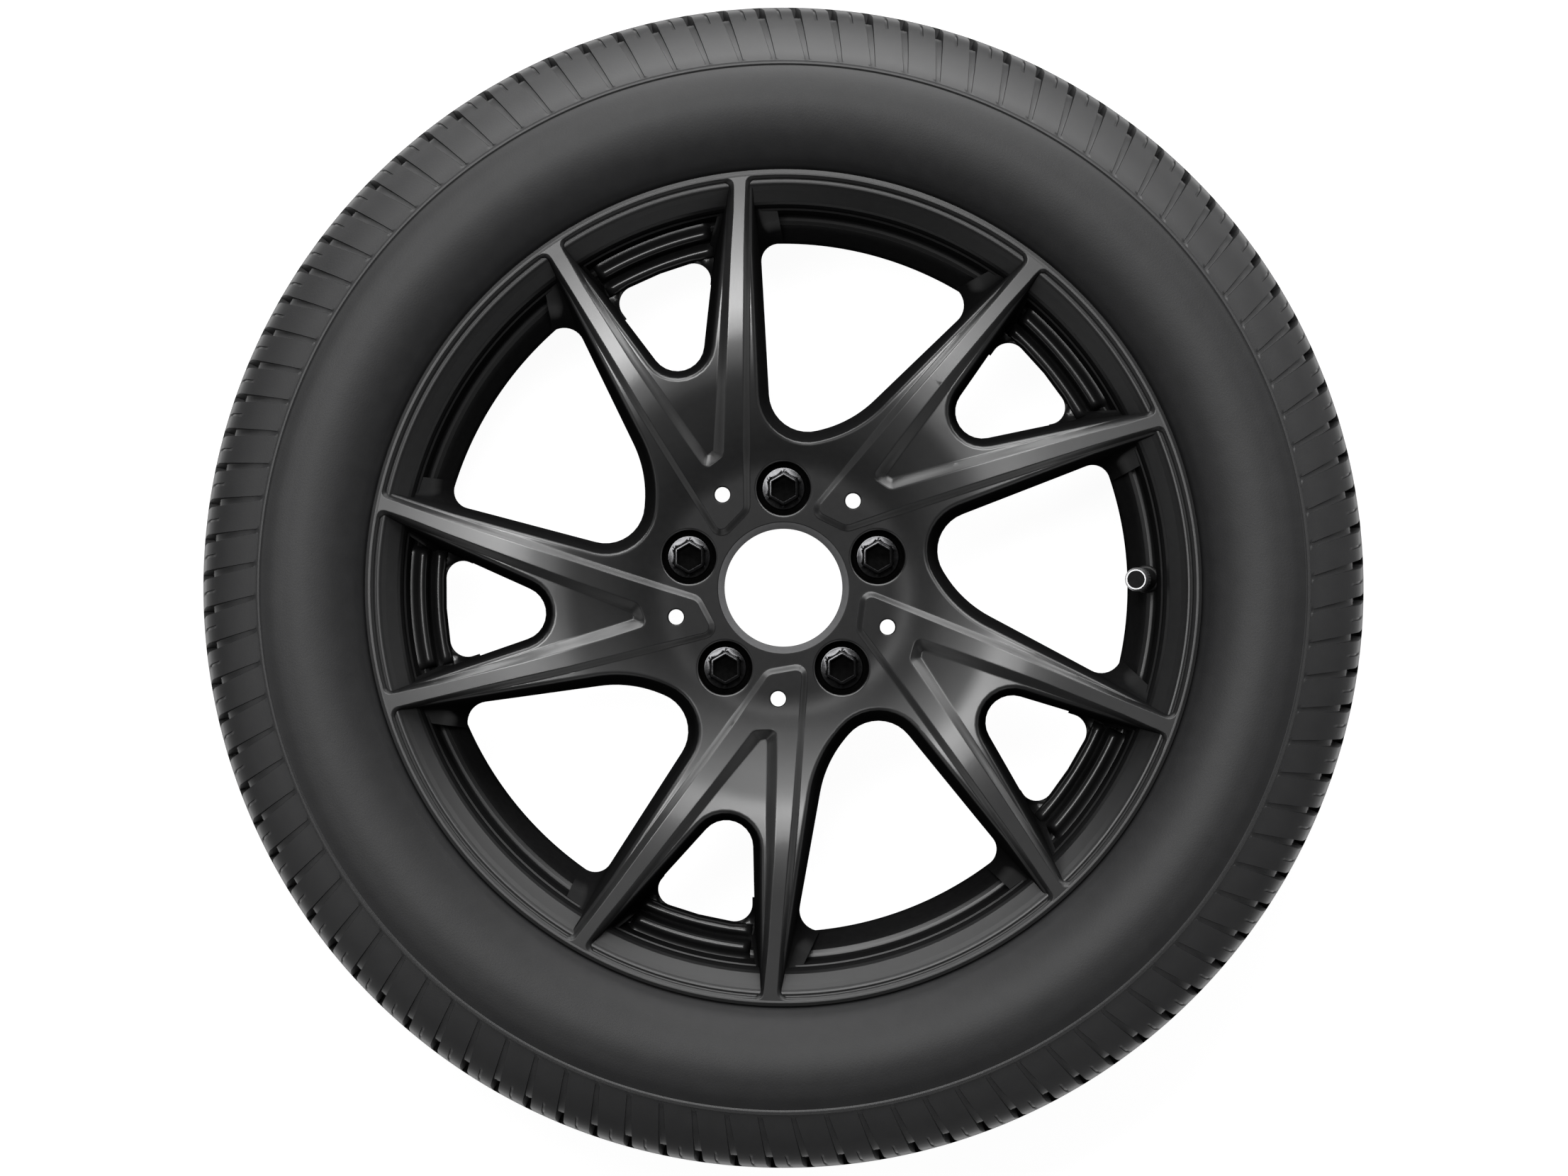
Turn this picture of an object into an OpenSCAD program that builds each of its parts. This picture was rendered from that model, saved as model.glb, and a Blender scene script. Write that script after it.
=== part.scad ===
// Road wheel with its tyre: a cast alloy wheel with five Y-shaped twin spokes,
// five ball-seat wheel bolts, a snap-in valve and a low-profile tyre.
// The wheel lies flat with its outer face up. The origin is the centre of the
// hub mounting face, +Z points out of the wheel's outer face, millimetres.

/* [Rim] */
// Diameter over the bead seats
seat_d = 436.6; // [420:1:460]
// Width between the two flanges
rim_w = 165.1; // [150:1:180]
// Distance of the rim's centre plane behind the hub mounting face
rim_offset = 46; // [38:1:52]
// Height of the flanges above the bead seats
flange_h = 17.3; // [15:0.1:19]
// Width of a flange
flange_w = 10.95; // [9:0.1:13]
// Wall thickness of the barrel
barrel_wall = 4.6; // [4:0.1:6]
// Depth of the drop centre below the bead seats
well_depth = 18.1; // [16:0.1:21]

/* [Hub] */
// Diameter of the centre bore
bore_d = 66.6; // [60:0.1:72]
// Width of the chamfer around the centre bore
bore_chamfer = 3.8; // [2:0.1:5]
// Height of the hub's outer face above the mounting face
hub_front = 33; // [30:0.5:36]
// Diameter of the mounting pad
pad_d = 152; // [146:1:160]
// Diameter of the bolt circle
bolt_circle_d = 112; // [108:0.5:116]
// Diameter of the counterbore around a bolt head
counterbore_d = 30.8; // [29:0.1:32]
// Height of the ball seats above the mounting face
seat_h = 13; // [11:0.5:15]
// Diameter of the circle of small trim holes
trim_circle_d = 125.6; // [122:0.2:130]
// Diameter of a small trim hole
trim_hole_d = 8.7; // [6:0.1:10]
// Depth of the lightening pockets in the mounting face
pad_pocket_depth = 12; // [6:0.5:16]

/* [Spokes] */
// Height of the raised spoke plate above the ledge around it
plate_rise = 3; // [2:0.1:4]
// Width of the slope at the edge of the raised plate
plate_slope = 4; // [3:0.1:5]
// Depth of the hollow where two spokes part, below the plate
crotch_depth = 5.2; // [4:0.1:6.5]
// How far the spokes bow outwards between hub and rim
spoke_bow = 3.4; // [1:0.1:5]
// Height of the spokes' back above the mounting face
spoke_back = 8; // [5:0.5:12]
// How far the spoke flanks slope out from the front to the back
flank_draft = 5.2; // [4:0.1:6]
// How far the web between two paired spokes reaches inside the well
web_in = 3.5; // [2:0.1:4.5]
// Width of the lower step of that web
web_step = 8.4; // [7:0.1:9]
// Height of the upper step of that web above the lower one
web_rise = 14; // [10:0.5:16]

/* [Tyre] */
// Overall diameter of the tyre
tyre_d = 657.3; // [640:1:680]
// Widest section of the tyre
tyre_w = 214; // [206:1:222]
// Width of the tread
tread_w = 178; // [170:1:186]
// Thickness of the sidewall
sidewall_t = 9; // [7:0.5:12]
// Thickness of the tread
tread_t = 17; // [15:0.5:20]
// Depth of the tread grooves
groove_depth = 7.5; // [5:0.1:8.5]
// Width of the tread grooves
groove_w = 9; // [6:0.5:11]
// Grooves across each shoulder
shoulder_grooves = 100; // [80:1:110]
// Depth of the shoulder grooves
shoulder_groove_depth = 1.5; // [1:0.1:2.5]

/* [Bolts] */
// Diameter of the bolt thread
bolt_thread_d = 14; // [12:0.5:14.2]
// Length of the bolt below its ball seat
bolt_shank_l = 40; // [34:1:46]
// Radius of the ball seat
ball_r = 14; // [13.5:0.1:14.5]
// Diameter of the bolt collar
collar_d = 24; // [23:0.1:25]
// Width across the flats of the bolt head
bolt_flats = 17; // [15:0.5:19]
// Width across the flats of the hollow in the head
bolt_hollow_flats = 12.7; // [10:0.1:13.5]
// Height of the bolt head above its collar
bolt_head_h = 10; // [8:0.5:12]

/* [Valve] */
// Angle of the valve around the wheel
valve_angle = 1.35; // [0:0.05:3]
// Distance of the valve's foot inside the bead seat
valve_inset = 12.8; // [12.3:0.1:13.3]
// Lean of the valve towards the wheel's axis
valve_lean = 10.5; // [9:0.1:12]
// Diameter of the valve hole in the rim
valve_hole_d = 11.5; // [11:0.1:12]
// Height of the valve's cap face above its foot
valve_h = 36; // [34:0.5:38]
// Diameter of the valve cap
cap_d = 13.3; // [12.4:0.1:14]
// Height of the valve cap
cap_h = 13; // [12:0.1:14]
// Stroke of the valve core's pin
pin_stroke = 1.5; // [1:0.1:2]

/* [Fits] */
// Gap between the tyre's beads and the rim
bead_gap = 0.15; // [0.05:0.05:0.3]
// Gap around a bolt shank in its hole
bolt_gap = 0.6; // [0.4:0.1:0.9]
// Gap between a bolt's ball and its seat
ball_gap = 0.05; // [0.02:0.01:0.1]
// Gap between parts of the valve
valve_gap = 0.1; // [0.05:0.01:0.15]

/* [Hidden] */
$fn = 96;
arms = 5;
turn = 360 / arms;
black_paint = [0.10, 0.10, 0.11];
rubber_black = [0.16, 0.16, 0.17];

// Rim stations
seat_r = seat_d / 2;
flange_r = seat_r + flange_h;
half_w = rim_w / 2;
mid_z = -rim_offset;
face_z = mid_z + half_w;
lip_z = face_z + flange_w;
well_r = seat_r - well_depth;
well_in = well_r - barrel_wall;
lip_in = flange_r - 2.7;
step_in = lip_in - 3.2;
seat_taper = tan(5);
ledge_face_z = face_z - 38.2;
plate_front = hub_front + plate_rise;

// Bolt and valve stations
ball_cut = ball_r + ball_gap;
bolt_hole_r = bolt_thread_d / 2 + bolt_gap;
ball_z = seat_h + sqrt(ball_cut * ball_cut - bolt_hole_r * bolt_hole_r);
collar_z = ball_z - sqrt(ball_r * ball_r - collar_d * collar_d / 4);
collar_t = 2.4;
bore_r = bore_d / 2;
valve_r = seat_r - valve_inset;

// The spokes are drawn for a flange radius of 235.6 and stretch with the rim
drawn_r = 235.6;
hub_zone_r = 60;
function stretch(p) =
  let (d = norm([p[0], p[1]]),
       f = max(0, (d - hub_zone_r) / (drawn_r - hub_zone_r)),
       k = 1 + f * (flange_r - drawn_r) / d)
  [p[0] * k, p[1] * k, len(p) > 2 ? p[2] : 0];

function unit(v) = v / norm(v);
function xy(p) = [p[0], p[1]];

// Outline through corner points [x, y, radius], each corner rounded
function corner(a, p, b, r, n) =
  r == 0 ? [p] :
  let (u = unit(a - p),
       v = unit(b - p),
       half = acos(u * v) / 2,
       c = p + unit(u + v) * r / sin(half),
       s = p + u * r / tan(half) - c,
       e = p + v * r / tan(half) - c,
       a0 = atan2(s[1], s[0]),
       a1 = atan2(e[1], e[0]),
       da = ((a1 - a0 + 540) % 360) - 180)
  [for (i = [0:n]) c + r * [cos(a0 + da * i / n), sin(a0 + da * i / n)]];
function outline(pts, n = 4) =
  let (m = len(pts))
  [for (i = [0:m - 1])
    each corner(xy(pts[(i + m - 1) % m]), xy(pts[i]), xy(pts[(i + 1) % m]), pts[i][2], n)];
function fitted(pts) = [for (p = pts) stretch(p)];
function blend(a, b, f) = [for (i = [0:len(a) - 1]) a[i] * (1 - f) + b[i] * f];
function at_z(pts, z) = [for (p = pts) [p[0], p[1], z]];

// Solid between rings of points that lie over each other, lowest ring first
module loft(rings) {
  n = len(rings[0]);
  m = len(rings);
  low = [[for (i = [0:n - 1]) i]];
  high = [[for (i = [n - 1:-1:0]) (m - 1) * n + i]];
  side = [for (j = [0:m - 2]) for (i = [0:n - 1])
    each [[j * n + i, (j + 1) * n + i, (j + 1) * n + (i + 1) % n],
          [j * n + i, (j + 1) * n + (i + 1) % n, j * n + (i + 1) % n]]];
  polyhedron(points = [for (ring = rings) each ring], faces = concat(low, high, side));
}

// Height of the raised plate's face at radius r
function plate_z(r) =
  let (k = lip_in / 232.9,
       s = min(1, max(0, (r / k - 50) / 100)),
       g = min(1, max(0, (r / k - 90) / 142.9)))
  plate_front + (lip_z - plate_front) * s * s * (3 - 2 * s) + spoke_bow * sin(180 * g);
function ledge_z(r) = plate_z(r) - plate_rise;
function crotch_z(r) = plate_z(r) - plate_rise
  - (crotch_depth - plate_rise) * min(1, max(0, (120 - r) / 36));
function plate_rs(from, to) = [for (r = [from:8:to - 4]) r];

// Inner face of the barrel, from the lip down to the back edge
inner_pts = [
  [step_in, ledge_z(step_in)],
  [step_in - 1.2, ledge_z(step_in) - 0.1],
  [step_in - 2.2, ledge_z(step_in) - 0.8],
  [seat_r + 6.0, lip_z - 5.6],
  [seat_r - 0.4, lip_z - 9.8],
  [seat_r - 2.0, lip_z - 12.4],
  [seat_r - 3.4, lip_z - 17.0],
  [seat_r - 3.9, face_z - 14.0],
  [seat_r - 5.1, face_z - 14.6],
  [seat_r - 7.4, ledge_face_z + 2.7],
  [seat_r - 8.6, ledge_face_z + 0.6],
  [seat_r - 10.6, ledge_face_z],
  [seat_r - 12.6, ledge_face_z - 1.2],
  [well_in + 1.2, face_z - 58.0],
  [well_in, face_z - 62.0]
];
// Line half-way through the barrel's front wall, from the well to the lip
mid_wall = [
  [well_in + 2, face_z - 64],
  [well_in + 2.6, face_z - 59.5],
  [seat_r - 10.6, face_z - 41],
  [seat_r - 5.6, face_z - 36],
  [seat_r - 2, face_z - 14],
  [seat_r + 1, lip_z - 12],
  [step_in, ledge_z(step_in) - 3]
];
inner_back_pts = [
  [well_in, mid_z - 18],
  [well_in + 3, mid_z - 30],
  [seat_r - barrel_wall - 4.0, mid_z - half_w + 34],
  [seat_r - barrel_wall - 2.2, mid_z - half_w + 8],
  [seat_r - barrel_wall + 0.2, mid_z - half_w - 0.6],
  [seat_r + 7, mid_z - half_w - 7.0],
  [flange_r - 5, mid_z - half_w - flange_w + 1.6],
  [flange_r - 3.5, mid_z - half_w - flange_w]
];
// One flange, from its edge to the bead seat, for z pointing outwards
function flange_edge() = [
  [flange_r - 1.6, flange_w],
  [flange_r - 0.5, flange_w - 0.6],
  [flange_r, flange_w - 1.8],
  [flange_r - 0.2, flange_w - 4.2],
  [flange_r - 1.2, flange_w - 6.4],
  [flange_r - 3.2, flange_w - 8.6],
  [flange_r - 5.8, flange_w - 10.2],
  [flange_r - 8.4, 0],
  [seat_r + 6.5, 0],
  [seat_r + 3.2, -0.9],
  [seat_r + 0.9, -3.2],
  [seat_r, -6.5]
];
// Bead seat and hump behind the flange, for z pointing outwards
function seat_edge() = [
  [seat_r - 13.5 * seat_taper, -20],
  [seat_r - 0.6, -22.4],
  [seat_r - 0.6, -25.4]
];
function well_edge() = [
  [seat_r - 1.6, face_z - 33],
  [seat_r - 3.4, face_z - 38.5],
  [seat_r - 7.2, face_z - 42.5],
  [well_r + 3.4, face_z - 60],
  [well_r + 0.8, face_z - 64],
  [well_r, face_z - 67],
  [well_r, mid_z - 16],
  [well_r + 3, mid_z - 28],
  [seat_r - 4.6, mid_z - half_w + 33]
];
function flip(pts) = [for (p = pts) [p[0], mid_z - half_w - p[1]]];

module barrel_profile() {
  polygon(concat(
    inner_pts,
    inner_back_pts,
    [[flange_r - 1.6, mid_z - half_w - flange_w]],
    flip(concat([for (p = flange_edge()) if (p[0] < flange_r - 1.6 || p[1] < flange_w) p], seat_edge())),
    [for (i = [len(well_edge()) - 1:-1:0]) well_edge()[i]],
    [for (i = [len(seat_edge()) - 1:-1:0]) [seat_edge()[i][0], face_z + seat_edge()[i][1]]],
    [for (i = [len(flange_edge()) - 1:-1:0]) [flange_edge()[i][0], face_z + flange_edge()[i][1]]],
    [[lip_in, lip_z]]
  ));
}

// The valve's own frame: its foot at the origin, +Z along the stem
valve_foot_z = ledge_face_z + 0.6;
valve_wall = 4;
boss_d = 21;
pocket_d = 16.2;
module at_valve() {
  rotate([0, 0, valve_angle])
    translate([valve_r, 0, valve_foot_z])
      rotate([0, -valve_lean, 0])
        children();
}

module rim_barrel() {
  color(black_paint)
    difference() {
      union() {
        rotate_extrude($fn = 180) barrel_profile();
        // Boss that gives the valve a level seat
        intersection() {
          at_valve() translate([0, 0, -24]) cylinder(d = boss_d, h = 24);
          rotate_extrude($fn = 180)
            polygon(concat([[well_in + 0.3, face_z - 62], [well_in + 0.3, face_z - 20]],
              [[seat_r - 3, face_z - 20], mid_wall[3], mid_wall[2], mid_wall[1]]));
        }
      }
      at_valve() {
        translate([0, 0, -6]) cylinder(d = valve_hole_d, h = 12);
        cylinder(d = 17, h = 10);
        translate([0, 0, -valve_wall - 30]) cylinder(d = pocket_d, h = 30);
      }
      // Relief in the edge of the bead seat wall behind the valve
      rotate([0, 0, valve_angle])
        translate([seat_r - 8, -5.65, face_z - 12])
          cube([6.0, 11.3, 20]);
    }
}

// Corners [x, y, radius] of the raised Y plate's top edge
plate_top = fitted([
  [-22.4, 44.7, 6], [-22.8, 66, 0], [-23.0, 88, 0], [-23.0, 112, 0], [-22.9, 138, 0],
  [-22.7, 164, 0], [-22.5, 190, 0], [-22.0, 212, 0], [-21.3, 232.0, 4],
  [-12.6, 232.7, 0], [-12.4, 237, 0], [-38.5, 234, 0], [-37.9, 229.9, 0],
  [-27.6, 231.5, 4], [-28.0, 212, 0], [-29.4, 190, 0], [-30.5, 164, 0], [-31.4, 138, 0],
  [-32.3, 112, 0], [-32.8, 92, 0],
  [-33.2, 74.6, 6], [-43.9, 66.0, 4],
  [-58.4, 86.0, 0], [-72.6, 106.7, 0], [-86.4, 127.5, 0], [-99.6, 148.6, 0],
  [-112.8, 169.7, 0], [-127.4, 195.0, 4], [-119.4, 200.0, 0], [-121.5, 203.5, 0],
  [-143.5, 188, 0], [-141.2, 185.2, 0], [-133.6, 190.8, 5],
  [-118.6, 166.4, 0], [-105.5, 145.0, 0], [-92.6, 123.6, 0], [-79.8, 102.1, 0],
  [-66.6, 80.9, 0], [-53.3, 59.6, 0], [-35.7, 30.9, 3.5]
]);
// Corners of the same plate at the foot of its slope
plate_foot = fitted([
  [-18.7, 43.2, 9], [-18.8, 66, 0], [-18.8, 88, 0], [-18.8, 112, 0], [-18.7, 138, 0],
  [-18.7, 164, 0], [-19.0, 190, 0], [-19.0, 212, 0], [-18.6, 229.0, 4],
  [-12.5, 229.4, 0], [-12.4, 237, 0], [-38.5, 234, 0], [-37.5, 226.6, 0],
  [-30.8, 227.6, 4], [-32.0, 212, 0], [-33.2, 190, 0], [-34.9, 164, 0], [-36.5, 138, 0],
  [-38.0, 112, 0], [-39.2, 92, 0],
  [-40.2, 77.4, 1.2], [-42.5, 74.9, 1.2],
  [-54.6, 92.0, 0], [-68.2, 111.5, 0], [-82.2, 130.2, 0], [-96.2, 150.8, 0],
  [-110.2, 171.5, 0], [-123.4, 193.4, 4], [-117.7, 197.2, 0], [-121.5, 203.5, 0],
  [-143.5, 188, 0], [-139.0, 182.9, 0], [-134.6, 186.2, 5],
  [-120.8, 165.0, 0], [-108.6, 143.2, 0], [-96.0, 121.4, 0], [-83.2, 99.9, 0],
  [-70.0, 78.7, 0], [-56.7, 57.5, 0], [-36.0, 25.4, 6.5]
]);
slope_k = plate_slope / 4;

module y_plate() {
  top = outline(plate_top, 3);
  foot = blend(top, outline(plate_foot, 3), slope_k);
  intersection() {
    translate([0, 0, hub_front - 8]) linear_extrude(40) polygon(blend(top, foot, 0.5));
    rotate_extrude($fn = 180)
      polygon(concat(
        [[0, hub_front - 12], [seat_r - 8, hub_front - 12], mid_wall[4], mid_wall[5],
         [step_in, lip_z - 6], [lip_in + 1, lip_z - 4], [lip_in + 1, lip_z - 2], [lip_in, lip_z]],
        [for (i = [len(plate_rs(30, lip_in)) - 1:-1:0])
          [plate_rs(30, lip_in)[i], plate_z(plate_rs(30, lip_in)[i])]],
        [[0, plate_front]]
      ));
  }
}

// Window corners [x, y, radius]: upper edge of the flanks, then their lower edge
big_top = fitted([
  [-17.2, 229.0, 3.5], [-17.2, 190, 0], [-12.0, 75.4, 27], [41.8, 88.6, 70],
  [136.2, 184.9, 4], [117, 201.5, 0], [92, 214.2, 0], [62, 224.8, 0], [30, 231.2, 0], [4, 233.1, 0]
]);
big_foot = fitted([
  [-13.0, 193.5, 10], [-11.6, 170, 0], [-6.7, 82.4, 22], [38.6, 93.7, 66],
  [108.3, 160.8, 12], [94, 172.3, 0], [74, 181.8, 0], [51, 189.6, 0], [28, 194.3, 0], [6, 196.2, 0]
]);
small_top = fitted([
  [-30.8, 227.6, 3.5], [-54, 226.7, 0], [-78, 219.5, 0], [-101, 209.9, 0],
  [-124.3, 193.1, 4], [-45.8, 85.9, 19.5]
]);
small_foot = fitted([
  [-38.6, 194.2, 6], [-54, 189.6, 0], [-70, 184.3, 0], [-86, 177.2, 0],
  [-102.8, 168.9, 6], [-49, 98, 15.2]
]);
// The clear opening that the web leaves in a small window
small_clear = fitted([
  [-39.7, 187.9, 9.5], [-69.9, 177.9, 0], [-98.3, 165.1, 10], [-49, 98, 15.2]
]);
draft_k = flank_draft / 5.2;

module window(top_c, foot_c, n) {
  top = outline(top_c, n);
  foot = blend(top, outline(foot_c, n), draft_k);
  ledge = [for (i = [0:len(top) - 1])
    let (q = (foot[i] + top[i]) * 0.5)
    norm(q) > 0.85 * flange_r ? unit(q) * (norm(q) + 1.5) : blend(foot, top, 0.08)[i]];
  loft([
    at_z(foot, face_z - 96),
    at_z(foot, face_z - 61),
    at_z(ledge, ledge_face_z + 2),
    at_z(blend(foot, top, 0.7), hub_front - 6),
    at_z(top, lip_z - 4),
    at_z(blend(foot, top, 1.12), lip_z + 14)
  ]);
}

// Stepped web along the barrel between the two spokes of a pair
module web() {
  in_r = well_in - web_in;
  low_z = ledge_face_z - 7;
  top_z = low_z + web_rise;
  mid_r = in_r + web_step;
  difference() {
    intersection() {
      rotate_extrude($fn = 180)
        polygon(concat(
          [[in_r, low_z - 8], [in_r, low_z - 2.8], [in_r + 1.2, low_z - 0.9], [in_r + 3.4, low_z],
           [mid_r - 0.8, low_z + 0.2], [mid_r + 0.4, low_z + 2], [mid_r + 2, top_z - 3],
           [mid_r + 3.4, top_z - 0.8], [mid_r + 5.8, top_z], [seat_r - 4.5, top_z + 0.3]],
          [mid_wall[3], mid_wall[2], mid_wall[1]]
        ));
      translate([0, 0, -60]) linear_extrude(120)
        polygon([[0, 0], [-26, 233], [-78, 238], [-128, 195]]);
    }
    translate([0, 0, -70]) linear_extrude(140) polygon(outline(small_clear, 4));
  }
}

// Lowers the ledge inside the fork of a spoke pair
module crotch_floor() {
  rs = [for (r = [60:10:130]) r];
  intersection() {
    translate([0, 0, hub_front - 12]) linear_extrude(40)
      polygon([for (p = fitted([[-36, 72], [-41, 70], [-90, 146], [-35, 150]])) xy(p)]);
    rotate_extrude($fn = 180)
      polygon(concat([for (r = rs) [r, crotch_z(r)]], [[130, lip_z + 10], [60, lip_z + 10]]));
  }
}

// The hub and the spokes are one casting; they part at this radius
part_r = 92;

module hub() {
  color(black_paint)
    difference() {
      union() {
        difference() {
          rotate_extrude($fn = 180)
            polygon(concat(
              [[bore_r, 0], [pad_d / 2, 0], [pad_d / 2 + 2, 2], [pad_d / 2 + 6, spoke_back - 1],
               [pad_d / 2 + 12, spoke_back], [part_r, spoke_back], [part_r, ledge_z(part_r)]],
              [for (i = [len(plate_rs(60, part_r - 4)) - 1:-1:0])
                [plate_rs(60, part_r - 4)[i], ledge_z(plate_rs(60, part_r - 4)[i])]],
              [[bore_r + bore_chamfer, hub_front], [bore_r, hub_front - bore_chamfer]]
            ));
          for (i = [0:arms - 1]) rotate([0, 0, turn * i]) {
            window(big_top, big_foot, 5);
            crotch_floor();
          }
        }
        intersection() {
          union() for (i = [0:arms - 1]) rotate([0, 0, turn * i]) y_plate();
          translate([0, 0, -1]) cylinder(r = part_r, h = lip_z + 20, $fn = 180);
        }
      }
      for (i = [0:arms - 1]) rotate([0, 0, turn * i]) {
        translate([0, bolt_circle_d / 2, 0]) {
          translate([0, 0, -1]) cylinder(r = bolt_hole_r, h = hub_front + 10);
          translate([0, 0, ball_z]) sphere(r = ball_cut);
          translate([0, 0, collar_z + 1.2]) cylinder(d = counterbore_d, h = hub_front);
        }
        rotate([0, 0, 51.28]) translate([trim_circle_d / 2, 0, 0]) {
          translate([0, 0, -1]) cylinder(d = trim_hole_d, h = hub_front + 20);
          translate([0, 0, -1]) cylinder(d = 20, h = pad_pocket_depth + 1);
        }
      }
    }
}

module spokes() {
  color(black_paint)
    difference() {
      union() {
        difference() {
          rotate_extrude($fn = 180)
            polygon(concat(
              [[part_r, ledge_z(part_r)], [part_r, spoke_back], [well_in - 46, spoke_back],
               [well_in - 28, spoke_back - 3], [well_in - 15, spoke_back - 9],
               [well_in - 5, spoke_back - 18], [well_in + 2, spoke_back - 28]],
              [mid_wall[2], mid_wall[3], mid_wall[4], mid_wall[5], mid_wall[6]],
              [for (i = [len(plate_rs(part_r + 4, step_in)) - 1:-1:0])
                [plate_rs(part_r + 4, step_in)[i], ledge_z(plate_rs(part_r + 4, step_in)[i])]]
            ));
          for (i = [0:arms - 1]) rotate([0, 0, turn * i]) {
            window(big_top, big_foot, 5);
            window(small_top, small_foot, 4);
            crotch_floor();
          }
        }
        for (i = [0:arms - 1]) rotate([0, 0, turn * i]) {
          y_plate();
          web();
        }
      }
      rotate_extrude($fn = 180) barrel_profile();
      translate([0, 0, -1]) cylinder(r = part_r, h = lip_z + 20, $fn = 180);
    }
}

// Half of the tyre's section from the tread's middle round the bead, z from the middle plane
tyre_r = tyre_d / 2;
tread_h = tread_w / 2;
side_w = tyre_w / 2;
bead_z = half_w;
rib_z = [tread_h * 0.18, tread_h * 0.56];
function crown(z) = tyre_r - 3.2 * pow(z / tread_h, 3);
function tread_line() = concat(
  [[crown(0), 0]],
  [for (c = rib_z) each [
    [crown(c - groove_w / 2), c - groove_w / 2],
    [crown(c) - groove_depth, c - groove_w / 2 + 1],
    [crown(c) - groove_depth, c + groove_w / 2 - 1],
    [crown(c + groove_w / 2), c + groove_w / 2]]],
  [[crown(tread_h * 0.8), tread_h * 0.8], [crown(tread_h * 0.93), tread_h * 0.93]]
);
function side_line() =
  let (h = tyre_r - flange_r, w = side_w - tread_h)
  [
    [tyre_r - 5.5, tread_h + w * 0.04],
    [tyre_r - 9.5, tread_h + w * 0.24],
    [tyre_r - 16, tread_h + w * 0.43],
    [tyre_r - 24, tread_h + w * 0.60],
    [tyre_r - 31.6, tread_h + w * 0.74],
    [tyre_r - 32.2, tread_h + w * 0.80],
    [tyre_r - 33.4, tread_h + w * 0.81],
    [tyre_r - 34.0, tread_h + w * 0.78],
    [flange_r + h * 0.55, tread_h + w * 0.92],
    [flange_r + h * 0.42, side_w],
    [flange_r + h * 0.30, side_w - 0.8],
    [flange_r + h * 0.19, side_w - 3.2],
    [flange_r + h * 0.09, side_w - 7.4],
    [flange_r + h * 0.04, side_w - 11.6],
    [flange_r + 0.8, bead_z + 8.4]
  ];
function bead_line() = concat(
  [for (p = flange_edge()) if (p[1] < flange_w - 4) [p[0] + bead_gap, bead_z + p[1] - bead_gap]],
  [[seat_r - 12 * seat_taper + bead_gap, bead_z - 18.5],
   [seat_r + 1.6, bead_z - 20.2]]
);
function cavity_line() =
  let (h = tyre_r - flange_r, w = side_w - sidewall_t)
  [
    [flange_r - 6, bead_z - 18],
    [flange_r + h * 0.02, bead_z + 2.4],
    [flange_r + h * 0.14, (bead_z + w) / 2 + 1.3],
    [flange_r + h * 0.28, w - 1.6],
    [flange_r + h * 0.42, w],
    [flange_r + h * 0.58, w - 2],
    [flange_r + h * 0.72, w - 8.5],
    [tyre_r - tread_t, w - 20],
    [tyre_r - tread_t + 0.6, 0]
  ];
function half_tyre() = concat(tread_line(), side_line(), bead_line(), cavity_line());

// One groove across a shoulder, drawn in the plane of radius and height
module shoulder_cut() {
  top = tyre_r + 2;
  h = tread_h;
  w = side_w - tread_h;
  d = shoulder_groove_depth;
  rotate([90, 0, 0])
    linear_extrude(3.4, center = true)
      polygon([
        [tyre_r - 31.2, h + w], [tyre_r - 30.8, h + w * 0.72], [tyre_r - 29.6, h + w * 0.70 - d],
        [tyre_r - 16 - d * 0.4, h + w * 0.43 - d], [tyre_r - 9.5 - d * 0.8, h + w * 0.24 - d],
        [tyre_r - 5.5 - d, h], [crown(h * 0.8) - d * 1.6, h * 0.82],
        [crown(h * 0.7) - d * 1.6, h * 0.68], [top, h * 0.66], [top, h + w]
      ]);
}

module shoulder_row() {
  mid_r = tyre_r - 17;
  for (i = [0:shoulder_grooves - 1])
    rotate([0, 0, i * 360 / shoulder_grooves + groove_phase])
      translate([mid_r, 0, 0]) rotate([0, 0, 14.6]) translate([-mid_r, 0, 0])
        shoulder_cut();
}
groove_phase = 1.68;

module tyre() {
  color(rubber_black)
    translate([0, 0, mid_z])
      difference() {
        rotate_extrude($fn = 180)
          polygon(concat(
            half_tyre(),
            [for (i = [len(half_tyre()) - 2:-1:1]) [half_tyre()[i][0], -half_tyre()[i][1]]]
          ));
        shoulder_row();
        mirror([0, 0, 1]) shoulder_row();
      }
}

module wheel_bolts() {
  color("silver")
    for (i = [0:arms - 1])
      rotate([0, 0, turn * i])
        translate([0, bolt_circle_d / 2, 0])
          wheel_bolt();
}

module wheel_bolt() {
  difference() {
    union() {
      // The thread ends at the hub's face; a slimmer neck runs through the wheel
      translate([0, 0, seat_h - bolt_shank_l]) cylinder(d = bolt_thread_d, h = bolt_shank_l - seat_h - 1);
      translate([0, 0, -2]) cylinder(d = bolt_thread_d - 1, h = seat_h + 4);
      intersection() {
        translate([0, 0, ball_z]) sphere(r = ball_r);
        translate([0, 0, seat_h - 1]) cylinder(r = ball_r, h = collar_z - seat_h + 1);
      }
      translate([0, 0, collar_z]) cylinder(d = collar_d, h = collar_t);
      translate([0, 0, collar_z + collar_t])
        rotate([0, 0, 30])
          cylinder(d = bolt_flats / cos(30), h = bolt_head_h, $fn = 6);
    }
    translate([0, 0, collar_z + collar_t + bolt_head_h - 6])
      rotate([0, 0, 30])
        cylinder(d = bolt_hollow_flats / cos(30), h = 7, $fn = 6);
  }
}

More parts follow.
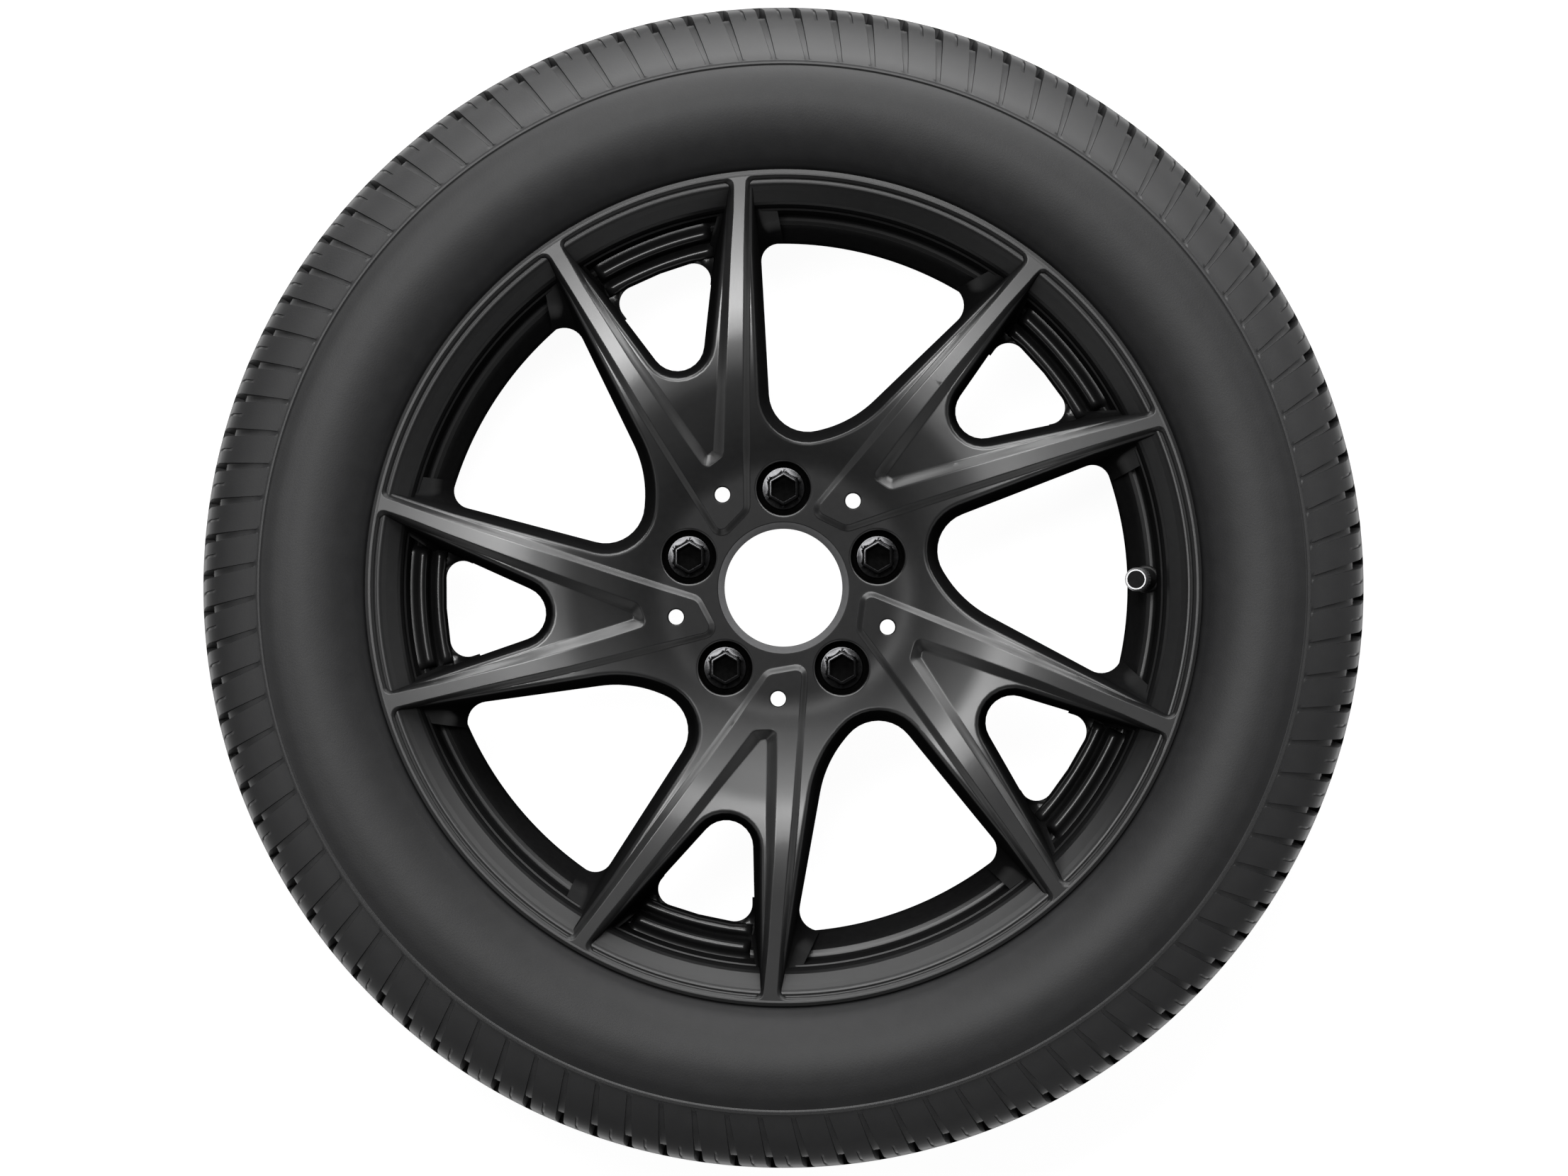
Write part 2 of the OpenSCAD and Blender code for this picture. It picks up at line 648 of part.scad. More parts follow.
// Heights along the valve, from its foot
stem_top = valve_h - 4.6;
core_seat = stem_top - 16.2;
core_top = stem_top - 1.2;
stem_r = 3.5;
thread_r = 3.85;
core_r = 2.6;
pin_r = 0.6;
chamber_z = core_seat + 3.8;
collar_w = core_top - 4.4;
bulb_l = 12;

module valve_body() {
  color(rubber_black)
    at_valve()
      rotate_extrude($fn = 64)
        polygon([
          [stem_r + valve_gap, -valve_wall - bulb_l], [5.6, -valve_wall - bulb_l],
          [6.2, -valve_wall - bulb_l + 1], [7.6, -valve_wall - 2.4], [7.6, -valve_wall - 1],
          [7.2, -valve_wall - valve_gap], [valve_hole_d / 2 - valve_gap, -valve_wall - valve_gap],
          [valve_hole_d / 2 - valve_gap, valve_gap], [7.8, valve_gap], [7.8, 1.6], [7.2, 2.4],
          [6.4, 2.8], [5.0, 9], [4.8, 18], [4.4, 19.4], [stem_r + valve_gap, 19.6]
        ]);
}

module valve_stem() {
  color([0.75, 0.62, 0.30])
    at_valve()
      rotate_extrude($fn = 64)
        polygon([
          [2.1, -valve_wall - bulb_l + 0.5], [stem_r, -valve_wall - bulb_l + 0.5], [stem_r, 19.8],
          [thread_r, 20.2], [thread_r, stem_top - 0.5], [thread_r - 0.5, stem_top],
          [core_r + valve_gap, stem_top], [core_r + valve_gap, core_seat], [2.1, core_seat - 0.6]
        ]);
}

module valve_core_housing() {
  color([0.78, 0.66, 0.36])
    at_valve()
      rotate_extrude($fn = 48)
        polygon([
          [pin_r + valve_gap, core_seat - 0.6], [1.6, core_seat - 0.6],
          [1.6, core_seat + 1.8], [core_r - 0.2, core_seat + 2], [core_r, core_seat + 2.4],
          [core_r, core_top - 0.3], [core_r - 0.3, core_top], [pin_r + valve_gap, core_top],
          [pin_r + valve_gap, core_top - 2.6], [1.5, core_top - 3],
          [1.5, chamber_z], [pin_r + valve_gap, chamber_z]
        ]);
}

module valve_core_gasket() {
  color([0.85, 0.3, 0.25])
    at_valve()
      translate([0, 0, core_seat + valve_gap])
        difference() {
          cylinder(r = core_r, h = 1.6);
          translate([0, 0, -1]) cylinder(r = 1.6 + valve_gap, h = 4);
        }
}

module valve_core_pin() {
  color([0.78, 0.66, 0.36])
    at_valve()
      rotate_extrude($fn = 32)
        polygon([
          [0, core_seat - 2.5], [1.8, core_seat - 2.5], [1.8, core_seat - 1.7],
          [pin_r, core_seat - 1.7], [pin_r, collar_w], [1.25, collar_w],
          [1.25, collar_w + 0.8], [pin_r, collar_w + 0.8], [pin_r, stem_top - 0.3], [0, stem_top - 0.3]
        ]);
}

module valve_core_seal() {
  color([0.12, 0.12, 0.12])
    at_valve()
      translate([0, 0, core_seat - 1.7])
        difference() {
          cylinder(r = 1.8, h = 1);
          translate([0, 0, -1]) cylinder(r = pin_r, h = 4);
        }
}

// Coil spring around the pin, between the chamber's floor and the pin's collar
module valve_core_spring() {
  wire = 0.2;
  mean = 1.0;
  low = chamber_z + wire + valve_gap;
  high = collar_w - wire - valve_gap;
  turns = 5;
  per_turn = 12;
  n = turns * per_turn;
  ring = 8;
  color([0.7, 0.7, 0.72])
    at_valve()
      polyhedron(
        points = [for (i = [0:n]) for (j = [0:ring - 1])
          let (a = 360 * i / per_turn, b = 360 * j / ring, r = mean + wire * cos(b))
          [r * cos(a), r * sin(a), low + (high - low) * i / n + wire * sin(b)]],
        faces = concat(
          [[for (j = [ring - 1:-1:0]) j]],
          [[for (j = [0:ring - 1]) n * ring + j]],
          [for (i = [0:n - 1]) for (j = [0:ring - 1])
            each [[i * ring + j, (i + 1) * ring + (j + 1) % ring, (i + 1) * ring + j],
                  [i * ring + j, i * ring + (j + 1) % ring, (i + 1) * ring + (j + 1) % ring]]]
        )
      );
}

module valve_cap() {
  low = valve_h - cap_h;
  color([0.75, 0.76, 0.78])
    at_valve()
      difference() {
        union() {
          translate([0, 0, low]) cylinder(d = cap_d - 1.4, h = cap_h - 0.6);
          translate([0, 0, low + 1.6]) cylinder(d = cap_d, h = cap_h - 3.4);
          translate([0, 0, valve_h - 1.8]) cylinder(d1 = cap_d, d2 = cap_d - 2, h = 1.8);
        }
        translate([0, 0, low - 1]) cylinder(r = thread_r + valve_gap, h = cap_h + 1 - 2.6);
        translate([0, 0, valve_h - 0.8]) cylinder(d = cap_d - 3.3, h = 2);
        // Grip flutes
        for (i = [0:23]) rotate([0, 0, i * 15])
          translate([cap_d / 2 + 0.15, 0, low + 1]) cylinder(r = 0.45, h = cap_h - 3.6, $fn = 16);
      }
}

module valve_cap_disc() {
  color([0.06, 0.06, 0.07])
    at_valve()
      translate([0, 0, valve_h - 0.8])
        cylinder(d = cap_d - 3.5, h = 0.6);
}

module valve_cap_seal() {
  color([0.12, 0.12, 0.12])
    at_valve()
      translate([0, 0, stem_top + valve_gap])
        difference() {
          cylinder(r = thread_r - 0.1, h = valve_h - 2.6 - stem_top - valve_gap);
          translate([0, 0, -1]) cylinder(r = 1.6, h = 4);
        }
}

rim_barrel();
hub();
spokes();
tyre();
wheel_bolts();
valve_body();
valve_stem();
valve_core_housing();
valve_core_gasket();
valve_core_pin();
valve_core_seal();
valve_core_spring();
valve_cap();
valve_cap_disc();
valve_cap_seal();
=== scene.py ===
import math

import bmesh
import bpy
import numpy as np
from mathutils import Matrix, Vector
from mathutils.geometry import delaunay_2d_cdt


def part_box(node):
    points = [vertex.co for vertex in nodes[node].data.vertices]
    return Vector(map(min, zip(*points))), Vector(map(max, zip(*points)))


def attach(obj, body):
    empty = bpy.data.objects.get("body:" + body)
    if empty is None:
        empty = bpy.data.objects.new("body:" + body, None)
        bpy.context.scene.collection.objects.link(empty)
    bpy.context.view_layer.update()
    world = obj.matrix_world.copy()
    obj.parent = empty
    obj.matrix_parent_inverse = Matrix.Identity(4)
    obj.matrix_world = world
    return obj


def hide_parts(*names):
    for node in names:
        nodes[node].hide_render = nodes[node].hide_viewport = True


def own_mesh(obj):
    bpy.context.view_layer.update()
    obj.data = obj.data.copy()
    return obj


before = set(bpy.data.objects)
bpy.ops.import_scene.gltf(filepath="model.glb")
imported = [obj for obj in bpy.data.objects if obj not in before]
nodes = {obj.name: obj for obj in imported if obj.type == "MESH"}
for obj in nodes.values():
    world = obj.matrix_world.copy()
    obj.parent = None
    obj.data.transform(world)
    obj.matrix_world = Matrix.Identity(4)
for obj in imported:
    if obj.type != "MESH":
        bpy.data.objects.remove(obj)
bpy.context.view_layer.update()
MM = 0.001
bpy.context.scene.view_settings.view_transform = "Standard"

# Camera: straight down on the wheel's face, long lens
PHOTO_WIDTH = 2212
PIXEL_MM = 0.3995
CAMERA_HEIGHT = 12
SENSOR = 36
lip_z = 47.5
cam_data = bpy.data.cameras.new("camera")
cam_data.sensor_width = SENSOR
cam_data.lens = SENSOR * CAMERA_HEIGHT * 1000 / (PHOTO_WIDTH * PIXEL_MM)
cam_data.clip_end = 50
cam = bpy.data.objects.new("camera", cam_data)
cam.location = (0.0003, -0.00015, CAMERA_HEIGHT + lip_z * MM)
bpy.context.scene.collection.objects.link(cam)
bpy.context.scene.camera = cam


# Materials
def material(name, color, rough, metallic=0.0, spec=0.5):
    m = bpy.data.materials.new(name)
    m.use_nodes = True
    b = m.node_tree.nodes["Principled BSDF"]
    b.inputs["Base Color"].default_value = (*color, 1)
    b.inputs["Roughness"].default_value = rough
    b.inputs["Metallic"].default_value = metallic
    b.inputs["Specular IOR Level"].default_value = spec
    return m


def node(m, kind, **inputs):
    n = m.node_tree.nodes.new(kind)
    for k, v in inputs.items():
        n.inputs[k.replace("_", " ")].default_value = v
    return n


def link(m, a, out, b, inp):
    m.node_tree.links.new(a.outputs[out], b.inputs[inp])


def bsdf(m):
    return m.node_tree.nodes["Principled BSDF"]


def speckle(m, scale, low, high, rough_low, rough_high, bump, bump_scale, distance=0.0002):
    """Fine mottling of colour and roughness, with a matching fine bump."""
    tc = node(m, "ShaderNodeTexCoord")
    n1 = node(m, "ShaderNodeTexNoise", Scale=scale, Detail=4.0, Roughness=0.6)
    link(m, tc, "Object", n1, "Vector")
    ramp = node(m, "ShaderNodeValToRGB")
    ramp.color_ramp.elements[0].position = 0.35
    ramp.color_ramp.elements[1].position = 0.7
    ramp.color_ramp.elements[0].color = (*low, 1)
    ramp.color_ramp.elements[1].color = (*high, 1)
    link(m, n1, "Fac", ramp, "Fac")
    link(m, ramp, "Color", bsdf(m), "Base Color")
    mr = node(m, "ShaderNodeMapRange")
    mr.inputs["To Min"].default_value = rough_low
    mr.inputs["To Max"].default_value = rough_high
    link(m, n1, "Fac", mr, "Value")
    link(m, mr, "Result", bsdf(m), "Roughness")
    n2 = node(m, "ShaderNodeTexNoise", Scale=bump_scale, Detail=3.0, Roughness=0.6)
    link(m, tc, "Object", n2, "Vector")
    bp = node(m, "ShaderNodeBump", Strength=bump, Distance=distance)
    link(m, n2, "Fac", bp, "Height")
    link(m, bp, "Normal", bsdf(m), "Normal")
    return m


paint = speckle(material("satin_black_lacquer", (0.010, 0.010, 0.0102), 0.36, 0.0, 0.75),
                260, (0.0090, 0.0090, 0.0092), (0.0110, 0.0110, 0.0112), 0.33, 0.40, 0.10, 1800, 0.00005)


def ramp_by(m, share, full, radii, values):
    """Colour ramp that gives a value at each radius."""
    ramp = node(m, "ShaderNodeValToRGB")
    stops = ramp.color_ramp.elements
    while len(stops) < len(radii):
        stops.new(0.5)
    for stop, r, v in zip(stops, radii, values):
        stop.position = r / full
        stop.color = (v, v, v, 1)
    link(m, share, "Result", ramp, "Fac")
    return ramp


def finish_by_radius(m, radii, roughness, shine, steep=None):
    """Roughness and shine that change with the radius.

    With steep given, rounded edges get their own shine, and walls fade to matt between its two slopes.
    """
    tc = node(m, "ShaderNodeTexCoord")
    sep = node(m, "ShaderNodeSeparateXYZ")
    link(m, tc, "Object", sep, "Vector")
    flat = node(m, "ShaderNodeCombineXYZ")
    link(m, sep, "X", flat, "X")
    link(m, sep, "Y", flat, "Y")
    size = node(m, "ShaderNodeVectorMath")
    size.operation = "LENGTH"
    link(m, flat, "Vector", size, 0)
    full = max(radii)
    share = node(m, "ShaderNodeMapRange")
    share.inputs["From Max"].default_value = full
    link(m, size, "Value", share, "Value")
    link(m, ramp_by(m, share, full, radii, roughness), "Color", bsdf(m), "Roughness")
    level = ramp_by(m, share, full, radii, shine)
    if steep is None:
        link(m, level, "Color", bsdf(m), "Specular IOR Level")
        return
    geo = node(m, "ShaderNodeNewGeometry")
    facing = node(m, "ShaderNodeSeparateXYZ")
    link(m, geo, "Normal", facing, "Vector")
    rounded_edges = node(m, "ShaderNodeMapRange")
    rounded_edges.interpolation_type = "SMOOTHSTEP"
    rounded_edges.inputs["From Min"].default_value = 0.88
    rounded_edges.inputs["From Max"].default_value = 0.96
    edge_shine = ramp_by(m, share, full, (0.10, 0.19, 0.21), (1.0, 1.0, 0.45))
    link(m, edge_shine, "Color", rounded_edges, "To Min")
    link(m, level, "Color", rounded_edges, "To Max")
    link(m, facing, "Z", rounded_edges, "Value")
    walls = node(m, "ShaderNodeMapRange")
    walls.interpolation_type = "SMOOTHSTEP"
    walls.inputs["From Min"].default_value = steep[0]
    walls.inputs["From Max"].default_value = steep[1]
    link(m, rounded_edges, "Result", walls, "To Max")
    link(m, facing, "Z", walls, "Value")
    link(m, walls, "Result", bsdf(m), "Specular IOR Level")


finish_by_radius(paint, (0.060, 0.082, 0.105, 0.130, 0.160, 0.195, 0.225),
                 (0.36, 0.37, 0.37, 0.34, 0.28, 0.31, 0.38),
                 (0.09, 0.26, 0.58, 0.74, 0.82, 0.56, 0.46), (0.45, 0.80))
rubber = speckle(material("tyre_rubber", (0.012, 0.012, 0.0125), 0.5, 0.0, 0.6),
                 90, (0.0105, 0.0105, 0.011), (0.0135, 0.0135, 0.014), 0.45, 0.54, 0.25, 900, 0.0002)
finish_by_radius(rubber, (0.236, 0.262, 0.280, 0.290, 0.302, 0.320),
                 (0.52, 0.50, 0.50, 0.50, 0.47, 0.50), (0.28, 0.31, 0.34, 0.44, 0.74, 0.50))
seal_rubber = speckle(material("valve_rubber", (0.012, 0.012, 0.012), 0.5),
                      300, (0.010, 0.010, 0.010), (0.018, 0.018, 0.018), 0.45, 0.6, 0.2, 2500, 0.00005)
bolt_black = speckle(material("black_oxide_steel", (0.03, 0.03, 0.031), 0.16, 0.9, 0.3),
                     500, (0.024, 0.024, 0.025), (0.036, 0.036, 0.037), 0.12, 0.19, 0.10, 2500, 0.00002)
# Painted shade: a darker matt black with no reflection, for the bolt wells, the trim-hole rims and the
# bolts' hex hollows.
recess_painted_shade = speckle(material("painted_shade_recess", (0.004, 0.004, 0.004), 0.8, 0.0, 0.0),
                     300, (0.003, 0.003, 0.003), (0.005, 0.005, 0.005), 0.75, 0.85, 0.05, 2500, 0.00002)
# Painted reflection: a lighter matt grey with no reflection, for the chamfer ring round the bore, standing
# in for the bright studio it reflects.
bore_ring_painted_reflection = speckle(material("bore_ring_painted_reflection", (0.10, 0.10, 0.102), 0.8, 0.0, 0.0),
                      400, (0.094, 0.094, 0.096), (0.106, 0.106, 0.108), 0.75, 0.85, 0.05, 2500, 0.00002)
cap_metal = speckle(material("satin_aluminium", (0.50, 0.50, 0.51), 0.45, 1.0),
                    600, (0.42, 0.42, 0.43), (0.58, 0.58, 0.58), 0.40, 0.52, 0.15, 3000, 0.00003)
cap_black = speckle(material("cap_insert_black", (0.010, 0.010, 0.010), 0.7, 0.0, 0.05),
                    500, (0.008, 0.008, 0.008), (0.012, 0.012, 0.012), 0.65, 0.75, 0.05, 2500, 0.00002)
brass = speckle(material("brass", (0.70, 0.52, 0.22), 0.32, 1.0),
                400, (0.62, 0.45, 0.18), (0.76, 0.58, 0.26), 0.28, 0.42, 0.1, 2500, 0.00003)
steel = speckle(material("spring_steel", (0.6, 0.6, 0.62), 0.3, 1.0),
                400, (0.55, 0.55, 0.57), (0.65, 0.65, 0.66), 0.25, 0.38, 0.1, 2500, 0.00003)

# Outlines (mm)
drawn = dict(
    plate_top=[
        (-22.4, 44.7, 6), (-22.8, 66, 0), (-23.0, 88, 0), (-23.0, 112, 0), (-22.9, 138, 0),
        (-22.7, 164, 0), (-22.5, 190, 0), (-22.0, 212, 0), (-21.3, 232.0, 4),
        (-12.6, 232.7, 0), (-12.4, 237, 0), (-38.5, 234, 0), (-37.9, 229.9, 0),
        (-27.6, 231.5, 4), (-28.0, 212, 0), (-29.4, 190, 0), (-30.5, 164, 0), (-31.4, 138, 0),
        (-32.3, 112, 0), (-32.8, 92, 0),
        (-33.2, 74.6, 6), (-43.9, 66.0, 4),
        (-58.4, 86.0, 0), (-72.6, 106.7, 0), (-86.4, 127.5, 0), (-99.6, 148.6, 0),
        (-112.8, 169.7, 0), (-127.4, 195.0, 4), (-119.4, 200.0, 0), (-121.5, 203.5, 0),
        (-143.5, 188, 0), (-141.2, 185.2, 0), (-133.6, 190.8, 5),
        (-118.6, 166.4, 0), (-105.5, 145.0, 0), (-92.6, 123.6, 0), (-79.8, 102.1, 0),
        (-66.6, 80.9, 0), (-53.3, 59.6, 0), (-35.7, 30.9, 3.5)],
    plate_foot=[
        (-18.7, 43.2, 9), (-18.8, 66, 0), (-18.8, 88, 0), (-18.8, 112, 0), (-18.7, 138, 0),
        (-18.7, 164, 0), (-19.0, 190, 0), (-19.0, 212, 0), (-18.6, 229.0, 4),
        (-12.5, 229.4, 0), (-12.4, 237, 0), (-38.5, 234, 0), (-37.5, 226.6, 0),
        (-30.8, 227.6, 4), (-32.0, 212, 0), (-33.2, 190, 0), (-34.9, 164, 0), (-36.5, 138, 0),
        (-38.0, 112, 0), (-39.2, 92, 0),
        (-40.2, 77.4, 1.2), (-42.5, 74.9, 1.2),
        (-54.6, 92.0, 0), (-68.2, 111.5, 0), (-82.2, 130.2, 0), (-96.2, 150.8, 0),
        (-110.2, 171.5, 0), (-123.4, 193.4, 4), (-117.7, 197.2, 0), (-121.5, 203.5, 0),
        (-143.5, 188, 0), (-139.0, 182.9, 0), (-134.6, 186.2, 5),
        (-120.8, 165.0, 0), (-108.6, 143.2, 0), (-96.0, 121.4, 0), (-83.2, 99.9, 0),
        (-70.0, 78.7, 0), (-56.7, 57.5, 0), (-36.0, 25.4, 6.5)],
    big_top=[
        (-17.2, 229.0, 3.5), (-17.2, 190, 0), (-12.0, 75.4, 27), (41.8, 88.6, 70),
        (136.2, 184.9, 4), (117, 201.5, 0), (92, 214.2, 0), (62, 224.8, 0), (30, 231.2, 0), (4, 233.1, 0)],
    big_foot=[
        (-13.0, 193.5, 10), (-11.6, 170, 0), (-6.7, 82.4, 22), (38.6, 93.7, 66),
        (108.3, 160.8, 12), (94, 172.3, 0), (74, 181.8, 0), (51, 189.6, 0), (28, 194.3, 0), (6, 196.2, 0)],
    small_top=[
        (-30.8, 227.6, 3.5), (-54, 226.7, 0), (-78, 219.5, 0), (-101, 209.9, 0),
        (-124.3, 193.1, 4), (-45.8, 85.9, 19.5)],
    small_foot=[
        (-38.6, 194.2, 6), (-54, 189.6, 0), (-70, 184.3, 0), (-86, 177.2, 0),
        (-102.8, 168.9, 6), (-49, 98, 15.2)],
)


def outline(pts, n):
    """Closed outline through corner points, each corner rounded with n + 1 points."""
    out = []
    m = len(pts)
    for i in range(m):
        a, p, b = (np.array(pts[(i + k) % m][:2], float) for k in (-1, 0, 1))
        r = pts[i][2]
        if r == 0:
            out.append(p)
            continue
        u = (a - p) / np.linalg.norm(a - p)
        v = (b - p) / np.linalg.norm(b - p)
        half = math.acos(u @ v) / 2
        w = (u + v) / np.linalg.norm(u + v)
        c = p + w * r / math.sin(half)
        s = p + u * r / math.tan(half) - c
        e = p + v * r / math.tan(half) - c
        a0 = math.atan2(s[1], s[0])
        da = (math.atan2(e[1], e[0]) - a0 + 3 * math.pi) % (2 * math.pi) - math.pi
        for k in range(n + 1):
            t = a0 + da * k / n
            out.append(c + r * np.array([math.cos(t), math.sin(t)]))
    return np.array(out)


def rot(pts, k):
    """Points turned by k fifths of a turn."""
    a = math.radians(72 * k)
    c, s = math.cos(a), math.sin(a)
    p = np.array(pts, float).copy()
    x, y = p[:, 0].copy(), p[:, 1].copy()
    p[:, 0] = c * x - s * y
    p[:, 1] = s * x + c * y
    return p


def dense(pts, step):
    """The same closed line with points at most step apart."""
    out = []
    for i in range(len(pts)):
        a, b = pts[i], pts[(i + 1) % len(pts)]
        n = max(1, int(math.ceil(np.linalg.norm(b - a) / step)))
        out += [a + (b - a) * j / n for j in range(n)]
    return np.array(out)


def offset(pts, d):
    """Closed counter-clockwise or clockwise line moved out by d along its normals."""
    nxt, prv = np.roll(pts, -1, 0), np.roll(pts, 1, 0)
    area = 0.5 * np.sum(pts[:, 0] * nxt[:, 1] - nxt[:, 0] * pts[:, 1])
    e1, e2 = pts - prv, nxt - pts
    n1 = np.stack([e1[:, 1], -e1[:, 0]], 1) / (np.linalg.norm(e1, axis=1)[:, None] + 1e-9)
    n2 = np.stack([e2[:, 1], -e2[:, 0]], 1) / (np.linalg.norm(e2, axis=1)[:, None] + 1e-9)
    n = n1 + n2
    n /= (np.linalg.norm(n, axis=1)[:, None] + 1e-9)
    c = np.clip(np.sum(n * n1, 1), 0.6, 1)
    return pts + n / c[:, None] * d * (1 if area > 0 else -1)


def inside(poly, pts):
    """Which points lie inside a closed line."""
    x, y = pts[:, 0], pts[:, 1]
    res = np.zeros(len(pts), bool)
    px, py = poly[:, 0], poly[:, 1]
    qx, qy = np.roll(px, -1), np.roll(py, -1)
    for i in range(len(poly)):
        cond = (py[i] > y) != (qy[i] > y)
        if cond.any():
            xi = (qx[i] - px[i]) * (y[cond] - py[i]) / (qy[i] - py[i]) + px[i]
            idx = np.where(cond)[0]
            flip = idx[x[idx] < xi]
            res[flip] ^= True
    return res


def dist(poly, pts):
    """Distance of each point to a closed line."""
    best = np.full(len(pts), 1e9)
    for i in range(len(poly)):
        a, b = poly[i], poly[(i + 1) % len(poly)]
        v = b - a
        L = v @ v
        if L < 1e-12:
            continue
        t = np.clip(((pts - a) @ v) / L, 0, 1)
        d = np.hypot(pts[:, 0] - a[0] - t * v[0], pts[:, 1] - a[1] - t * v[1])
        best = np.minimum(best, d)
    return best


# Heights (mm)
def smooth_line(pts, n):
    """Points along a smooth curve through the given ones."""
    p = np.array(pts, float)
    q = np.vstack([2 * p[0] - p[1], p, 2 * p[-1] - p[-2]])
    out = []
    for i in range(1, len(q) - 2):
        for k in range(n):
            t = k / n
            out.append(0.5 * (2 * q[i] + (q[i + 1] - q[i - 1]) * t
                       + (2 * q[i - 1] - 5 * q[i] + 4 * q[i + 1] - q[i + 2]) * t * t
                       + (3 * q[i] - q[i - 1] - 3 * q[i + 1] + q[i + 2]) * t ** 3))
    out.append(p[-1])
    return np.array(out)


# Face of the raised plate: level round the hub, rising, then bowed out to the lip
plate_line = smooth_line([
    (0, 36), (52, 36), (64, 36), (71, 36.5), (78, 38.2), (90, 41.9), (110, 47.2), (125, 50.2),
    (140, 51.5), (150, 51.6), (165, 51.1), (185, 50.0), (205, 49.0), (232.9, 47.5)], 6)


def plate_z(r):
    return np.interp(r, plate_line[:, 0], plate_line[:, 1])


def fork(pts):
    """Which points lie in the sunk triangle between a pair of spokes."""
    side = (pts[:, 0] + 40.5) * -0.845 + (pts[:, 1] - 50) * -0.535
    return (pts[:, 0] < -28) & (side < 0) & (pts[:, 1] > 60)


def low_z(pts):
    """Height of the ledge below the raised plate."""
    r = np.hypot(pts[:, 0], pts[:, 1])
    deep = 3 + np.where(fork(pts), 2.2 * np.clip((120 - r) / 36, 0, 1), 0)
    return plate_z(r) - deep


TOP = outline(drawn["plate_top"], 6)
FOOT = outline(drawn["plate_foot"], 6)
STEP_R = 229.7
LIP_R = 232.9
FILLET = 2.6


def ease(t, k=0.14):
    """0 to 1 with rounded ends."""
    t = np.clip(t, 0, 1)
    lo, hi = t < k, t > 1 - k
    m = 1 / (1 - k)
    y = m * (t - k / 2)
    y = np.where(lo, m * t * t / (2 * k), y)
    y = np.where(hi, 1 - m * (1 - t) ** 2 / (2 * k), y)
    return y


def bearing(pts, middle):
    """Angle of each point to the direction middle, in degrees."""
    return np.abs((np.degrees(np.arctan2(pts[:, 1], pts[:, 0])) - middle + 180) % 360 - 180)


def surface_z(pts, windows):
    """Height of the spokes' face at points of any sector."""
    z = np.full(len(pts), -1e9)
    r = np.hypot(pts[:, 0], pts[:, 1])
    for k in range(5):
        q = rot(pts, -k)
        near = bearing(q, 110) < 45
        if not near.any():
            continue
        qn = q[near]
        dT, dF = dist(TOP, qn), dist(FOOT, qn)
        iT, iF = inside(TOP, qn), inside(FOOT, qn)
        t = np.where(iT, 1.0, np.where(iF, dF / (dF + dT + 1e-9), 0.0))
        own = bearing(qn, 102) <= 36.0001
        lo = low_z(qn)
        rise_lip = ease((r[near] - STEP_R) / (LIP_R - STEP_R))
        hi = plate_z(r[near])
        f = np.maximum(ease(t), rise_lip)
        zz = np.where(own | (t > 0), lo + (hi - lo) * f, -1e9)
        z[near] = np.maximum(z[near], zz)
    for w in windows:
        d = dist(w, pts)
        drop = np.where(d < FILLET, FILLET - np.sqrt(np.maximum(0, FILLET ** 2 - (FILLET - d) ** 2)), 0)
        z = z - drop
    return z


# Mesh helpers
def add_mesh(name, verts, faces, mat):
    """Smooth-shaded object from points in millimetres."""
    me = bpy.data.meshes.new(name)
    v = np.asarray(verts, float) * MM
    me.from_pydata([tuple(p) for p in v], [], [tuple(f) for f in faces])
    me.update()
    o = bpy.data.objects.new(name, me)
    bpy.context.scene.collection.objects.link(o)
    me.materials.append(mat)
    for p in me.polygons:
        p.use_smooth = True
    return o


def weld(o, d=0.00002):
    """Joins points closer than d metres and turns all faces outwards."""
    bm = bmesh.new()
    bm.from_mesh(o.data)
    bmesh.ops.remove_doubles(bm, verts=bm.verts, dist=d)
    bmesh.ops.recalc_face_normals(bm, faces=bm.faces)
    bm.to_mesh(o.data)
    bm.free()


def lathe(name, prof, mat, n, sharp, closed=False):
    """Mesh turned round Z from [r, z] points."""
    ang = np.radians(360.0 * np.arange(n) / n)
    verts = []
    for r, z in prof:
        verts.append(np.stack([r * np.cos(ang), r * np.sin(ang), np.full(n, z)], 1))
    verts = np.concatenate(verts)
    m = len(prof)
    faces = []
    rows = m if closed else m - 1
    for i in range(rows):
        j = (i + 1) % m
        for c in range(n):
            d = (c + 1) % n
            faces.append((i * n + c, i * n + d, j * n + d, j * n + c))
    o = add_mesh(name, verts, faces, mat)
    weld(o)
    o.data.set_sharp_from_angle(angle=math.radians(sharp))
    return o


def rounded(pts, n=3):
    """Open line of [x, y, radius] with its corners rounded."""
    out = []
    for i, p in enumerate(pts):
        r = p[2] if len(p) > 2 else 0
        if r == 0 or i in (0, len(pts) - 1):
            out.append(np.array(p[:2], float))
            continue
        a, q, b = (np.array(pts[j][:2], float) for j in (i - 1, i, i + 1))
        la, lb = np.linalg.norm(a - q), np.linalg.norm(b - q)
        u, v = (a - q) / la, (b - q) / lb
        cosang = np.clip(u @ v, -1, 1)
        half = math.acos(cosang) / 2
        if half > math.radians(88.5):
            out.append(q)
            continue
        t = min(r / math.tan(half), 0.48 * la, 0.48 * lb)
        rr = t * math.tan(half)
        c = q + (u + v) / np.linalg.norm(u + v) * rr / math.sin(half)
        s, e = q + u * t - c, q + v * t - c
        s0 = math.atan2(s[1], s[0])
        da = (math.atan2(e[1], e[0]) - s0 + 3 * math.pi) % (2 * math.pi) - math.pi
        for k in range(n + 1):
            t2 = s0 + da * k / n
            out.append(c + rr * np.array([math.cos(t2), math.sin(t2)]))
    return out


def circle(r, n, cx=0.0, cy=0.0, a0=0.0):
    a = a0 + 2 * np.pi * np.arange(n) / n
    return np.stack([cx + r * np.cos(a), cy + r * np.sin(a)], 1)


